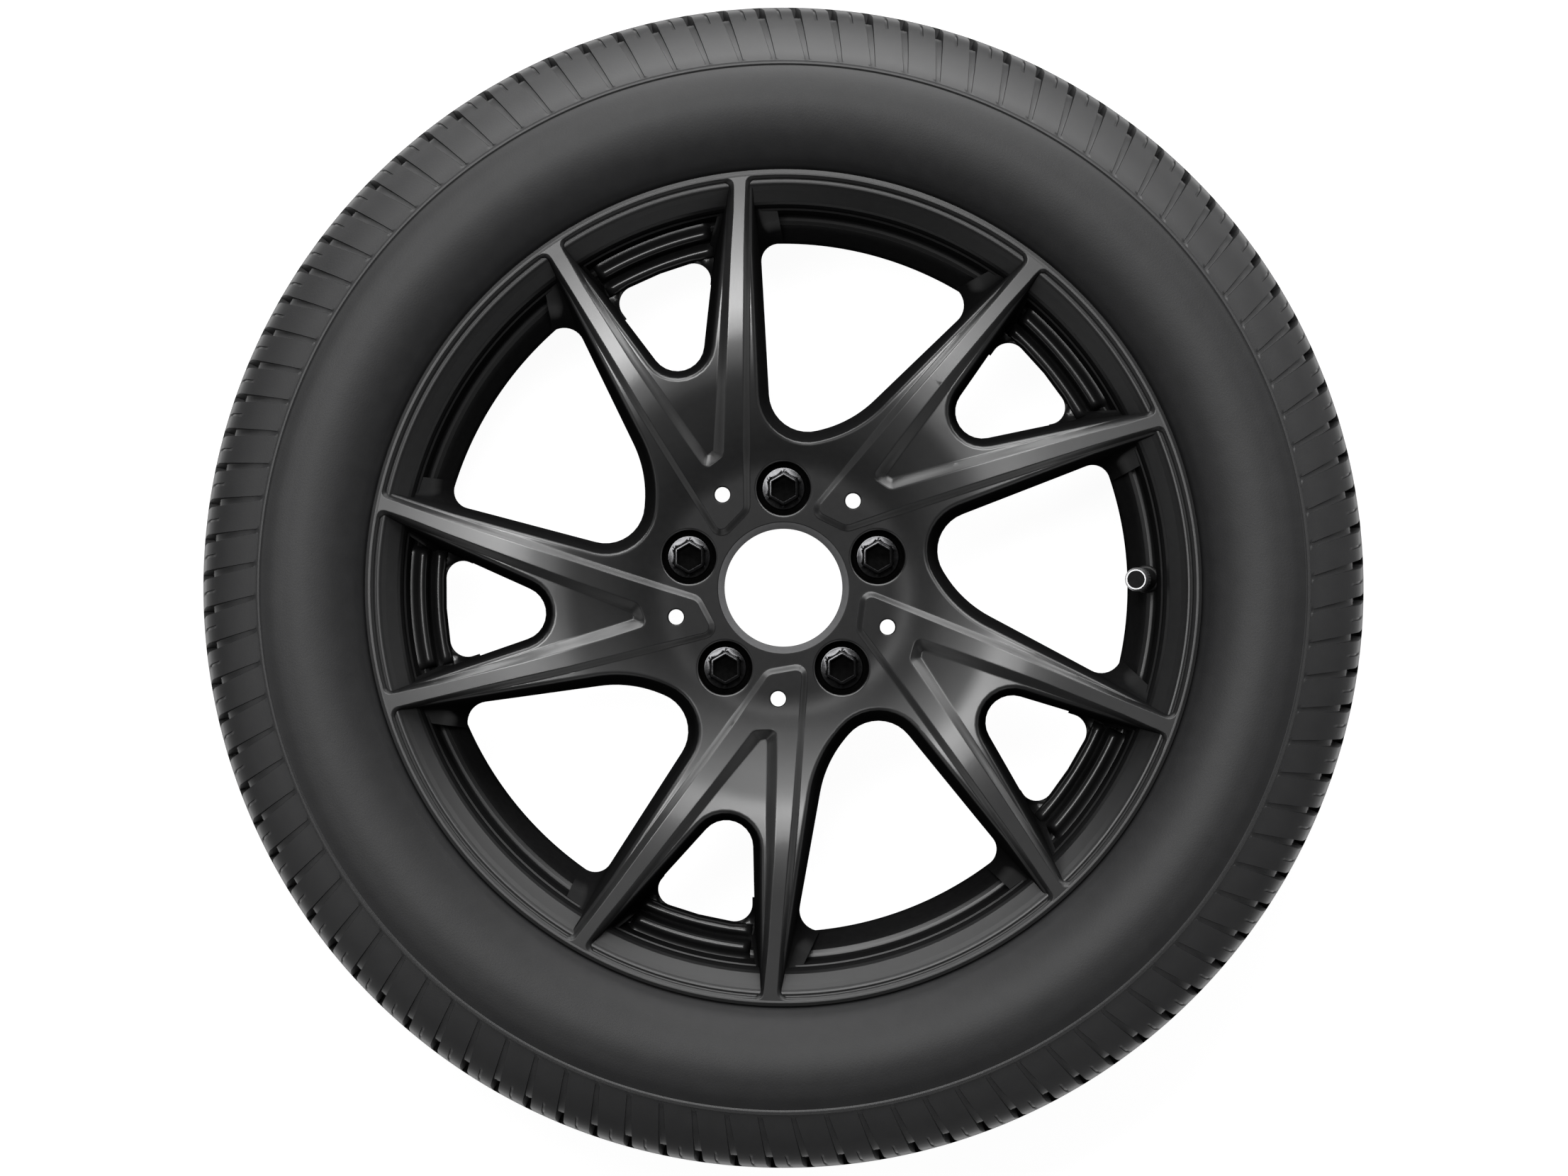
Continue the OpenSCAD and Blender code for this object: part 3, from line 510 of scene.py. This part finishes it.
def plan_mesh(loops, free, keep, open_lines=()):
    """Triangles over a plan, with closed and open lines kept as edges.

    keep(points) says which faces stay, from their middles.
    """
    verts, edges = [], []
    for line in open_lines:
        s = len(verts)
        verts += [Vector((float(p[0]), float(p[1]))) for p in line]
        edges += [(s + i, s + i + 1) for i in range(len(line) - 1)]
    for loop in loops:
        s = len(verts)
        verts += [Vector((float(p[0]), float(p[1]))) for p in loop]
        n = len(loop)
        edges += [(s + i, s + (i + 1) % n) for i in range(n)]
    verts += [Vector((float(p[0]), float(p[1]))) for p in free]
    result = delaunay_2d_cdt(verts, edges, [], 0, 1e-4)
    v = np.array([(p[0], p[1]) for p in result[0]])
    f = np.array([t for t in result[2] if len(t) == 3])
    c = v[f].mean(1)
    f = f[keep(c)]
    return v, f


# Spokes
WIN = {}
for key in ("big", "small"):
    top = outline(drawn[key + "_top"], 10)
    foot = outline(drawn[key + "_foot"], 10)
    n_top = []
    n_foot = []
    for i in range(len(top)):
        j = (i + 1) % len(top)
        n = max(1, int(math.ceil(np.linalg.norm(top[j] - top[i]) / 4.0)))
        for k in range(n):
            n_top.append(top[i] + (top[j] - top[i]) * k / n)
            n_foot.append(foot[i] + (foot[j] - foot[i]) * k / n)
    WIN[key] = (np.array(n_top), np.array(n_foot))

windows = [rot(WIN[key][0], k) for k in range(5) for key in ("big", "small")]


def fifths(radius, start):
    """Five points spaced round a circle, the first at the angle start in degrees."""
    angles = [math.radians(start + 72 * k) for k in range(5)]
    return [(radius * math.cos(a), radius * math.sin(a)) for a in angles]


bolt_at = fifths(56, 90)
trim_at = fifths(62.8, 51.28)
BORE_R = 33.3
COUNTERBORE_R = 15.4
TRIM_R = 4.35
BALL_Z = 24.82


def clear_of(c, centres, r):
    """Which points are more than r from every centre."""
    ok = np.ones(len(c), bool)
    for x, y in centres:
        ok &= np.hypot(c[:, 0] - x, c[:, 1] - y) > r
    return ok


def back_edge(key, k):
    """Edge of a window at the back of the spokes."""
    top, foot = WIN[key]
    return offset(rot(foot + (top - foot) * 0.04, k), 1.0)


def face_mesh():
    loops = []
    for k in range(5):
        for key in ("big", "small"):
            w = WIN[key][0]
            for d in (0.0, 0.12, 0.45, 1.0, 1.7, FILLET, FILLET + 0.35):
                loops.append(rot(offset(w, d), k))
        for s in (-0.08, 0.0, 0.07, 0.14, 0.5, 0.86, 0.93, 1.0, 1.08):
            loops.append(rot(dense(FOOT + (TOP - FOOT) * s, 4.0), k))
    for r in (STEP_R - 0.3, STEP_R, STEP_R + 0.25, STEP_R + 0.6, LIP_R - 0.6, LIP_R - 0.25):
        loops.append(circle(r, 360))
    loops.append(circle(LIP_R, 360))
    for r in (BORE_R, 33.55, 36.9, 37.15, 37.5):
        loops.append(circle(r, 144))
    for bx, by in bolt_at:
        for r in (COUNTERBORE_R, 15.6, 16.0, 16.3, 16.7):
            loops.append(circle(r, 64, bx, by))
    for tx, ty in trim_at:
        for r in (TRIM_R, 4.5, 4.8, 4.95, 5.3):
            loops.append(circle(r, 36, tx, ty))
    lines = np.concatenate(loops)
    # Free points on rings, kept clear of the lines
    free = []
    for r in np.arange(40, 232, 4.2):
        n = int(2 * np.pi * r / 4.2)
        free.append(circle(r, n, a0=0.3 * r))
    free = np.concatenate(free)
    cell = {}
    for p in lines:
        cell.setdefault((int(p[0] // 2), int(p[1] // 2)), []).append(p)
    ok = []
    for p in free:
        i, j = int(p[0] // 2), int(p[1] // 2)
        near = False
        for a in (-1, 0, 1):
            for b in (-1, 0, 1):
                for q in cell.get((i + a, j + b), ()):
                    if (p[0] - q[0]) ** 2 + (p[1] - q[1]) ** 2 < 2.6:
                        near = True
        if not near:
            ok.append(p)

    def keep(c):
        r = np.hypot(c[:, 0], c[:, 1])
        k = (r < LIP_R) & (r > BORE_R)
        for w in windows:
            k &= ~inside(w, c)
        return k & clear_of(c, bolt_at, COUNTERBORE_R) & clear_of(c, trim_at, TRIM_R)

    v, f = plan_mesh(loops, ok, keep)
    z = surface_z(v, windows)
    r = np.hypot(v[:, 0], v[:, 1])
    z = np.where(r < 37.15, np.minimum(z, 33 - np.maximum(0, 37.0 - r)), z)
    for x, y in bolt_at:
        d = np.hypot(v[:, 0] - x, v[:, 1] - y)
        z = np.where(d < 16.3, z - 0.6 * np.clip((16.1 - d) / 0.7, 0, 1), z)
    for x, y in trim_at:
        d = np.hypot(v[:, 0] - x, v[:, 1] - y)
        z = np.where(d < 4.95, z - 0.5 * np.clip((4.85 - d) / 0.5, 0, 1), z)
    return v, f, z


def back_z(p):
    """Height of the spokes' back."""
    r = np.hypot(p[:, 0], p[:, 1])
    rs = [33, 76, 78, 82, 88, 145, 163, 176, 186, 193.5, 236]
    zs = [0, 0, 2, 7, 8, 8, 5, -1, -10, -20, -30]
    return np.interp(r, rs, zs)


def spoke_piece():
    v, f, z = face_mesh()
    verts = [np.c_[v, z]]
    faces = [tuple(t) for t in f]
    count = len(v)

    def strip(rings, show=None):
        nonlocal count
        n = len(rings[0])
        for ring in rings:
            verts.append(ring)
        for j in range(len(rings) - 1):
            for i in range(n):
                if show is not None and not (show[i] or show[(i + 1) % n]):
                    continue
                a, b = count + j * n + i, count + j * n + (i + 1) % n
                c, d = a + n, b + n
                faces.append((a, b, d, c))
        count += n * len(rings)

    for k in range(5):
        for key in ("big", "small"):
            top, foot = WIN[key]
            t0 = rot(top, k)
            zt = surface_z(t0, windows)
            rings = [np.c_[t0, zt]]
            p = rot(foot + (top - foot) * 0.93, k)
            rings.append(np.c_[p, zt + (27.0 - zt) * 0.2])
            for s, zz in ((0.7, 27.0), (0.35, 14.0)):
                p = rot(foot + (top - foot) * s, k)
                rings.append(np.c_[p, np.maximum(zz, back_z(p) + 3)])
            p = rot(foot, k)
            rings.append(np.c_[p, back_z(p) + 1.2])
            p = back_edge(key, k)
            rings.append(np.c_[p, back_z(p)])
            strip(rings, np.hypot(foot[:, 0], foot[:, 1]) < 195.2)
    # Back
    holes = [back_edge(key, k) for k in range(5) for key in ("big", "small")]
    loops = list(holes)
    for r in (76, 78, 82, 88, 145, 154, 163, 176, 186, 193.5):
        loops.append(circle(r, 200))
    loops.append(circle(34.3, 96))
    free = []
    for r in np.arange(40, 200, 7):
        free.append(circle(r, int(2 * np.pi * r / 7), a0=0.2 * r))
    free = np.concatenate(free)
    for x, y in bolt_at:
        loops.append(circle(7.9, 48, x, y))
    for x, y in trim_at:
        loops.append(circle(10, 48, x, y))
    free = free[clear_of(free, bolt_at, 9) & clear_of(free, trim_at, 11)]

    def keep(c):
        r = np.hypot(c[:, 0], c[:, 1])
        k = (r < 199) & (r > 34.3)
        for w in holes:
            k &= ~inside(w, c)
        return k & clear_of(c, bolt_at, 7.9) & clear_of(c, trim_at, 10)

    loops.append(circle(199, 260))
    vb, fb = plan_mesh(loops, free, keep)
    verts.append(np.c_[vb, back_z(vb)])
    faces += [tuple(t[::-1] + count) for t in fb]
    count += len(vb)
    # Bore, bolt holes and trim holes
    def level(r, n, z, x=0.0, y=0.0):
        return np.c_[circle(r, n, x, y), np.full(n, z)]

    strip([level(r, 144, zz) for r, zz in ((BORE_R, 29.3), (BORE_R, 15), (BORE_R, 1.0), (34.3, 0.0))])
    well_start = len(faces)
    for x, y in bolt_at:
        rim = circle(COUNTERBORE_R, 64, x, y)
        rings = [np.c_[rim, surface_z(rim, []) - 0.6]]
        rings.append(level(COUNTERBORE_R, 64, 17.6, x, y))
        rings.append(level(14.8, 64, 17.0, x, y))
        for r in (12.7, 11.6, 10.4, 9.0, 7.6):
            rings.append(level(r, 64, BALL_Z - math.sqrt(14.05 ** 2 - r ** 2), x, y))
        strip(rings)
        strip([level(r, 48, zz, x, y) for r, zz in ((7.6, 13.0), (7.6, 0.3), (7.9, 0.0))])
    well_end = len(faces)
    for x, y in trim_at:
        rim = circle(TRIM_R, 36, x, y)
        strip([np.c_[rim, surface_z(rim, []) - 0.5], level(TRIM_R, 36, 12.3, x, y),
               level(4.6, 36, 12.0, x, y), level(9.6, 36, 12.0, x, y)])
        strip([level(r, 48, zz, x, y) for r, zz in ((9.6, 12.0), (10, 11.6), (10, 0.0))])
    o = add_mesh("cast_spokes", np.concatenate(verts), faces, paint)
    o.data.materials.append(recess_painted_shade)
    o.data.materials.append(bore_ring_painted_reflection)
    # Painted shade: the bolt wells get the dark recess material.
    for i in range(well_start, well_end):
        o.data.polygons[i].material_index = 1
    # Painted reflection on the ring round the bore, painted shade on the trim-hole rims.
    for i, t in enumerate(f):
        c = v[t].mean(0)
        if np.hypot(*c) < 36.9:
            o.data.polygons[i].material_index = 2
        elif min(np.hypot(c[0] - x, c[1] - y) for x, y in trim_at) < 4.8:
            o.data.polygons[i].material_index = 1
    weld(o, 0.00001)
    o.data.set_sharp_from_angle(angle=math.radians(32))
    return o


spokes = spoke_piece()
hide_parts("hub", "spokes")
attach(spokes, "wheel")


# Barrel
inner = [
    (235.9, 47.0, 0.8), (234.2, 47.5, 0.8), (232.9, 47.45, 0.25), (231.2, 46.3, 0.3), (230.9, 45.5, 0.15),
    (230.2, 45.0, 0.3), (229.1, 45.3, 0.5), (228.0, 45.2, 0.8), (226.8, 44.0, 1.2),
    (224.3, 42.0, 3), (217.9, 37.7, 2), (216.3, 35.1, 1.5), (214.9, 30.5, 1), (214.4, 22.6, 0.5),
    (213.2, 22.0, 0.5), (210.9, 1.05, 1.2),
    (209.7, -1.35, 1.2), (207.7, -1.75, 1), (205.7, -2.75, 0.8), (196.8, -21.45, 2), (195.6, -25.45, 3),
    (195.6, -64, 6), (198.6, -76, 6), (209.7, -94.5, 5), (211.5, -120.5, 4), (213.9, -129.1, 3),
    (225.3, -135.5, 3), (230.6, -137.9, 1), (232.1, -139.5, 0.5), (234.0, -139.5, 1.0)]
outer_half = [
    (234.0, 10.95, 1.0), (235.1, 10.35, 0.8), (235.6, 9.15, 1.0), (235.4, 6.75, 2), (234.4, 4.55, 3),
    (232.4, 2.35, 3), (229.8, 0.75, 3), (227.2, 0, 1.5), (224.8, 0, 3), (221.5, -0.9, 3), (219.2, -3.2, 3),
    (218.3, -6.5, 1), (217.1, -20, 1), (217.7, -22.4, 1), (217.7, -25.4, 1)]
well = [
    (216.7, 3.55, 2), (214.9, -1.95, 2), (211.1, -5.95, 3), (203.6, -23.45, 3), (201.0, -27.45, 2),
    (200.2, -30.45, 2), (200.2, -62, 3), (203.2, -74, 4), (213.7, -95.5, 4)]
line = list(inner)
line += [(r, -128.55 - z, q) for r, z, q in outer_half[1:]]
line += list(reversed(well))
line += [(r, 36.55 + z, q) for r, z, q in reversed(outer_half)]
line = rounded(line, 4)
barrel = lathe("rim_barrel_skin", line, paint, n=400, closed=True, sharp=30)
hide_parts("rim_barrel")
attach(barrel, "wheel")

# Webs between paired spokes
WEB = [
    (191.4, -17.0), (191.5, -12.4), (192.2, -10.7), (193.4, -9.6), (194.8, -8.9), (196.0, -8.8),
    (197.0, -9.4), (198.0, -11.0), (199.3, -12.6), (200.2, -11.5), (200.9, -4.0), (201.6, 1.8),
    (202.4, 4.0), (203.4, 5.2), (204.8, 5.6), (206.0, 5.3), (207.2, 4.2), (208.4, 2.6),
    (210.0, 2.0), (212.8, 2.2), (214.6, 3.6)]
WEB_LOW = [
    (191.4, -17.0), (194.0, -14.0), (198.0, -11.5), (203.0, -7.0), (208.0, -2.0), (212.8, 1.2), (214.6, 3.6)]
CLEAR = [(-39.7, 187.9, 9.5), (-69.9, 177.9, 0), (-98.3, 165.1, 10), (-49, 98, 15.2)]


def web_piece():
    clear = dense(outline(CLEAR, 12), 2.0)
    reach = offset(WIN["small"][1], 2.5)
    lo, hi = math.radians(99.5), math.radians(123.5)

    def arc(r):
        a = np.linspace(lo, hi, 91)
        return np.stack([r * np.cos(a), r * np.sin(a)], 1)

    def keep(c):
        r = np.hypot(c[:, 0], c[:, 1])
        a = np.arctan2(c[:, 1], c[:, 0])
        across = (a > lo) & (a < hi) & (r > 190)
        return (r < 214.6) & ~inside(clear, c) & (across | (inside(reach, c) & (r > 176)))

    fence = np.array([(-20, 80), (-20, 222), (-128, 222), (-128, 80)], float)
    ribs = [arc(r) for r, z in WEB]
    loops = [clear, fence] + [offset(clear, d) for d in (0.7, 1.6, 3.0)] + [reach]
    v, f = plan_mesh(loops, [], keep, ribs)

    def joined(r):
        """1 where the web has risen to the spokes' back."""
        return ease((190 - r) / 9)

    def height(p):
        r = np.hypot(p[:, 0], p[:, 1])
        a = np.degrees(np.arctan2(p[:, 1], p[:, 0]))
        end = np.minimum(a - 101.6, 120.8 - a) * math.radians(1) * r
        m = np.clip(end / 4.2, 0, 1)
        m = np.sqrt(np.maximum(0, 1 - (1 - m) ** 2))
        low = np.interp(r, *zip(*WEB_LOW))
        z = low + (np.interp(r, *zip(*WEB)) - low) * m
        return z + (back_z(p) - z) * joined(r)

    def rolled(p, z):
        edge = dist(clear, p)
        fall = np.where(edge < 3.0, 3.0 * (1 - edge / 3.0) ** 2, 0)
        return z - fall * (1 - joined(np.hypot(p[:, 0], p[:, 1])))

    count = len(v)
    n = len(clear)
    far = joined(np.hypot(clear[:, 0], clear[:, 1]))
    top = rolled(clear, height(clear))
    foot = -21.0
    wall = foot + (top - 0.3 - foot) * far
    verts = [np.c_[v, rolled(v, height(v))], np.c_[clear, top], np.c_[clear, wall]]
    faces = [tuple(t) for t in f]
    for i in range(n):
        j = (i + 1) % n
        if np.hypot(*clear[i]) > 176 and np.hypot(*clear[j]) > 176:
            faces.append((count + i, count + j, count + n + j, count + n + i))
    base = np.concatenate(verts)
    allv, allf = [], []
    for k in range(5):
        off = k * len(base)
        allv.append(rot(base, k))
        allf += [tuple(i + off for i in t) for t in faces]
    o = add_mesh("spoke_webs", np.concatenate(allv), allf, paint)
    weld(o, 0.00001)
    o.data.set_sharp_from_angle(angle=math.radians(40))
    return o


webs = web_piece()
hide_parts("hub", "spokes")
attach(webs, "wheel")

# Tyre
MID = -46.0
side = [
    (236.2, 91.0), (237.6, 93.4), (239.3, 95.4), (244.0, 99.6), (253.3, 103.8), (263.5, 106.2),
    (274.7, 107.0), (286.8, 105.6), (294.3, 103.1), (294.9, 103.35), (295.4, 103.75), (296.3, 103.6),
    (296.8, 103.0), (297.2, 102.3)]
shoulder = [
    (297.2, 102.3), (298.0, 102.05), (300.5, 101.25), (304.65, 99.8), (308.5, 98.4), (312.65, 96.7),
    (316.0, 95.1), (319.15, 93.2), (321.6, 91.3), (323.6, 89.2), (325.1, 86.4), (325.9, 83.0),
    (326.5, 78.0), (327.0, 72.0), (327.5, 66.0), (327.8, 60.0), (328.0, 55.5)]
BLOCKS = 100
PITCH = 360 / BLOCKS


def groove_angle(r, z):
    """Turn of the shoulder groove's middle line, degrees."""
    return 1.68 + 0.048 * (np.minimum(r, 326.0) - 311.65) + 0.016 * np.maximum(0, 84 - z)


def shoulder_piece(name, sign):
    """Blocks and grooves on one shoulder: sign is 1 for the outer side."""
    prof = smooth_line(shoulder, 2)
    r, z = prof[:, 0], prof[:, 1]
    d = np.gradient(prof, axis=0)
    n = np.stack([d[:, 1], -d[:, 0]], 1)
    n /= np.linalg.norm(n, axis=1)[:, None]
    n *= np.where(n[:, 1:2] + n[:, 0:1] < 0, -1, 1)
    run = np.concatenate([[0], np.cumsum(np.hypot(*np.diff(prof, axis=0).T))])
    half = np.interp(r, [297.2, 326], [0.20, 0.40])
    depth = np.interp(run, [0, 0.9, 3, 14, 26, 40, run[-1]], [0, 0.25, 0.9, 1.3, 3.2, 6.0, 6.5])
    notch = np.interp(r, [320.5, 322, 330], [0, 1.0, 1.2]) * (z > 70)
    cols, kind = [], []
    for f, w, kd in ((-1, -0.05, 0), (-1, 0.0, 0.9), (0, 0.0, 1.0), (1, 0.0, 0.9), (1, 0.05, 0)):
        cols.append((f, w, kd, 0))
    for f in (0.12, 0.3):
        cols.append(("b", f, 0, 0))
    for off, kd in ((-0.16, 0), (-0.12, 1), (0.12, 1), (0.16, 0)):
        cols.append(("m", off, 0, kd))
    for f in (0.7, 0.88):
        cols.append(("b", f, 0, 0))
    rows = len(prof)
    verts = np.zeros((rows, BLOCKS * len(cols), 3))
    for j, (f, w, gd, nd) in enumerate(cols):
        if f == "b":
            off = half + 0.05 + (PITCH - 2 * half - 0.1) * w
        elif f == "m":
            off = half + 0.05 + (PITCH - 2 * half - 0.1) * 0.5 + w
        else:
            off = f * half + w
        for i in range(BLOCKS):
            a = np.radians(i * PITCH + groove_angle(r, z) + off)
            sink = depth * gd + notch * nd
            rr = r - n[:, 0] * sink
            zz = z - n[:, 1] * sink
            c = i * len(cols) + j
            verts[:, c, 0] = rr * np.cos(a)
            verts[:, c, 1] = rr * np.sin(a)
            verts[:, c, 2] = MID + sign * zz
    m = BLOCKS * len(cols)
    faces = []
    for i in range(rows - 1):
        for c in range(m):
            e = (c + 1) % m
            q = (i * m + c, i * m + e, (i + 1) * m + e, (i + 1) * m + c)
            faces.append(q[::-1] if sign < 0 else q)
    o = add_mesh(name, verts.reshape(-1, 3), faces, rubber)
    weld(o, 0.000001)
    o.data.set_sharp_from_angle(angle=math.radians(42))
    return o


def tread_piece():
    """Four grooves round the tread and fine cuts across its blocks."""
    half_line = [(328.0, 55.5), (328.02, 54.4), (320.8, 53.6), (320.6, 46.2), (328.2, 45.2), (328.3, 44.0),
                 (328.45, 33.0), (328.55, 21.6), (328.5, 20.6), (320.9, 19.8), (320.9, 12.4), (328.6, 11.4),
                 (328.65, 10.4), (328.65, 0.0)]
    z = [p[1] for p in half_line] + [-p[1] for p in half_line[-2::-1]]
    r = [p[0] for p in half_line] + [p[0] for p in half_line[-2::-1]]
    r, z = np.array(r), np.array(z)
    verts, faces = [], []
    offs = [-0.12, -0.08, 0.08, 0.12, 0.9, 1.8, 2.7]
    m = BLOCKS * len(offs)
    for rr, zz in zip(r, z):
        for i in range(BLOCKS):
            for j, o in enumerate(offs):
                a = math.radians(i * PITCH + o + 0.03 * zz)
                sink = 3.0 if (j in (1, 2) and rr > 325 and 22 < abs(zz) < 44.5) else 0.0
                verts.append(((rr - sink) * math.cos(a), (rr - sink) * math.sin(a), MID + zz))
    for i in range(len(r) - 1):
        for c in range(m):
            e = (c + 1) % m
            faces.append((i * m + c, i * m + e, (i + 1) * m + e, (i + 1) * m + c))
    o = add_mesh("tyre_tread", verts, faces, rubber)
    weld(o, 0.000001)
    o.data.set_sharp_from_angle(angle=math.radians(30))
    return o


side_s = smooth_line(side[:9], 3)[:-1].tolist() + side[8:]
inner_wall = [(234.5, 90.0), (231.0, 83.5), (219.0, 80.0)]
parts = [shoulder_piece("tyre_shoulder_outer", 1), shoulder_piece("tyre_shoulder_inner", -1), tread_piece()]
for name, sgn in (("tyre_side_outer", 1), ("tyre_side_inner", -1)):
    prof = [(r, MID + sgn * z) for r, z in inner_wall + [tuple(q) for q in side_s]]
    parts.append(lathe(name, prof if sgn > 0 else prof[::-1], rubber, n=400, sharp=40))
for o in parts:
    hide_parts("tyre")
    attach(o, "wheel")


# Bolts
BOLT_SIDES = 48


def ring_pts(r, z, hexa=None):
    """Ring of radius r at height z. hexa is half the width across flats, with a corner up, cut off at r."""
    a = 2 * math.pi * np.arange(BOLT_SIDES) / BOLT_SIDES
    rr = np.full(BOLT_SIDES, r)
    if hexa is not None:
        t = (a - math.pi / 2) % (math.pi / 3)
        rr = np.minimum(hexa / np.cos(t - math.pi / 6), r)
    return np.stack([rr * np.cos(a), rr * np.sin(a), np.full(BOLT_SIDES, z)], 1)


def bolts_piece():
    rings = [ring_pts(0.05, -27.0), ring_pts(5.9, -27.0), ring_pts(7.0, -26.0)]
    z = -26.0
    while z < -1.5:
        rings += [ring_pts(r, z + up) for r, up in ((7.0, 0.35), (6.35, 0.75), (6.35, 0.95), (7.0, 1.35))]
        z += 1.5
    rings += [ring_pts(6.5, -0.4), ring_pts(6.5, 12.0), ring_pts(7.55, 13.05)]
    for r in (8.6, 9.8, 11.0, 11.8):
        rings.append(ring_pts(r, BALL_Z - math.sqrt(14 ** 2 - r * r)))
    rings += [
        ring_pts(12.0, 17.75), ring_pts(12.0, 19.7), ring_pts(11.75, 19.95), ring_pts(11.3, 20.0),
        ring_pts(9.75, 20.0), ring_pts(9.75, 20.2, hexa=8.5), ring_pts(9.75, 20.6, hexa=8.45),
        ring_pts(9.7, 29.3, hexa=8.4), ring_pts(9.2, 29.85, hexa=8.2), ring_pts(8.9, 30.0, hexa=7.9),
        ring_pts(8.1, 30.0, hexa=6.9), ring_pts(7.9, 29.8, hexa=6.6), ring_pts(7.3, 29.0, hexa=6.35),
        ring_pts(7.33, 24.2, hexa=6.35), ring_pts(3.6, 22.9, hexa=3.1), ring_pts(0.05, 21.8, hexa=0.05)]
    n = BOLT_SIDES
    base = np.concatenate(rings)
    faces = []
    for i in range(len(rings) - 1):
        for c in range(n):
            d = (c + 1) % n
            faces.append((i * n + c, i * n + d, (i + 1) * n + d, (i + 1) * n + c))
    verts, allf = [], []
    for k, (x, y) in enumerate(bolt_at):
        off = k * len(base)
        verts.append(base + np.array([x, y, 0]))
        allf += [tuple(i + off for i in f) for f in faces]
    o = add_mesh("bolts", np.concatenate(verts), allf, bolt_black)
    o.data.materials.append(recess_painted_shade)
    # Painted shade inside the bolts' hex hollows.
    hollow = n * (len(rings) - 4)
    for i, p in enumerate(o.data.polygons):
        if i % (n * (len(rings) - 1)) >= hollow:
            p.material_index = 1
    weld(o, 0.000005)
    o.data.set_sharp_from_angle(angle=math.radians(28))
    return o


bolts = bolts_piece()
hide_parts("wheel_bolts")
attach(bolts, "wheel")

# Floor and lamps
FLOOR_Z = -0.1532
bpy.ops.mesh.primitive_plane_add(size=12, location=(0, 0, FLOOR_Z))
floor = bpy.context.object
floor.name = "floor"
fm = bpy.data.materials.new("studio_floor")
fm.use_nodes = True
nt = fm.node_tree
for n in list(nt.nodes):
    nt.nodes.remove(n)
out = nt.nodes.new("ShaderNodeOutputMaterial")
dif = nt.nodes.new("ShaderNodeBsdfDiffuse")
dif.inputs["Color"].default_value = (0.85, 0.85, 0.85, 1)
em = nt.nodes.new("ShaderNodeEmission")
em.inputs["Color"].default_value = (1, 1, 1, 1)
em.inputs["Strength"].default_value = 0.96
soft = nt.nodes.new("ShaderNodeBsdfDiffuse")
soft.inputs["Color"].default_value = (0.20, 0.20, 0.20, 1)
white = nt.nodes.new("ShaderNodeAddShader")
nt.links.new(em.outputs[0], white.inputs[0])
nt.links.new(soft.outputs[0], white.inputs[1])
mix = nt.nodes.new("ShaderNodeMixShader")
lp = nt.nodes.new("ShaderNodeLightPath")
seen = nt.nodes.new("ShaderNodeMath")
seen.operation = "MAXIMUM"
nt.links.new(lp.outputs["Is Camera Ray"], seen.inputs[0])
nt.links.new(lp.outputs["Is Glossy Ray"], seen.inputs[1])
through = nt.nodes.new("ShaderNodeMath")
through.operation = "MAXIMUM"
nt.links.new(seen.outputs[0], through.inputs[0])
nt.links.new(lp.outputs["Is Transmission Ray"], through.inputs[1])
nt.links.new(through.outputs[0], mix.inputs["Fac"])
nt.links.new(dif.outputs[0], mix.inputs[1])
nt.links.new(white.outputs[0], mix.inputs[2])
nt.links.new(mix.outputs[0], out.inputs["Surface"])
floor.data.materials.append(fm)

world = bpy.data.worlds.new("studio")
bpy.context.scene.world = world
world.use_nodes = True
bg = world.node_tree.nodes["Background"]
bg.inputs["Color"].default_value = (1, 1, 1, 1)
bg.inputs["Strength"].default_value = 0.05


def lamp(name, power, size_x, size_y, azimuth, elevation, distance):
    """Area light aimed at the origin; the angles are in degrees."""
    d = bpy.data.lights.new(name, "AREA")
    d.shape = "RECTANGLE"
    d.size = size_x
    d.size_y = size_y
    d.energy = power
    o = bpy.data.objects.new(name, d)
    a, e = math.radians(azimuth), math.radians(elevation)
    across = distance * math.cos(e)
    o.location = (across * math.cos(a), across * math.sin(a), distance * math.sin(e))
    o.rotation_euler = (Vector((0, 0, 0)) - o.location).to_track_quat("-Z", "Y").to_euler()
    bpy.context.scene.collection.objects.link(o)


lamp("key", 54, 1.4, 0.6, 118, 78, 3.0)
lamp("upper", 60, 2.2, 1.1, 86, 45, 3.0)
lamp("side", 4, 1.4, 1.4, 200, 40, 3.0)
lamp("fill", 2.5, 2.0, 2.0, 310, 35, 3.0)
for i, (azimuth, power) in enumerate(((45, 22), (84, 22), (122, 24), (0, 3), (225, 3), (285, 3))):
    lamp(f"edge_{i}", power, 1.8, 0.6, azimuth, 15, 3.0)

for n, m in (("valve_body", seal_rubber), ("valve_stem", brass),
             ("valve_core_housing", brass), ("valve_core_gasket", seal_rubber), ("valve_core_pin", brass),
             ("valve_core_seal", seal_rubber), ("valve_cap", cap_metal),
             ("valve_cap_disc", cap_black), ("valve_cap_seal", seal_rubber)):
    o = nodes[n]
    o.data.materials.clear()
    o.data.materials.append(m)

# The core's spring as a steel copy with its own mesh, in place of the imported one
coil = bpy.data.objects.new("core_spring_coil", nodes["valve_core_spring"].data.copy())
coil.data.materials.clear()
coil.data.materials.append(steel)
bpy.context.scene.collection.objects.link(coil)
low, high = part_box("valve_core_spring")
inward = Vector((0.182185, 0.004293, -0.983255))
foot = (low + high) * 0.5 + inward * 0.0033
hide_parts("valve_core_spring")
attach(coil, "wheel")
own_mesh(coil)

bpy.context.view_layer.update()
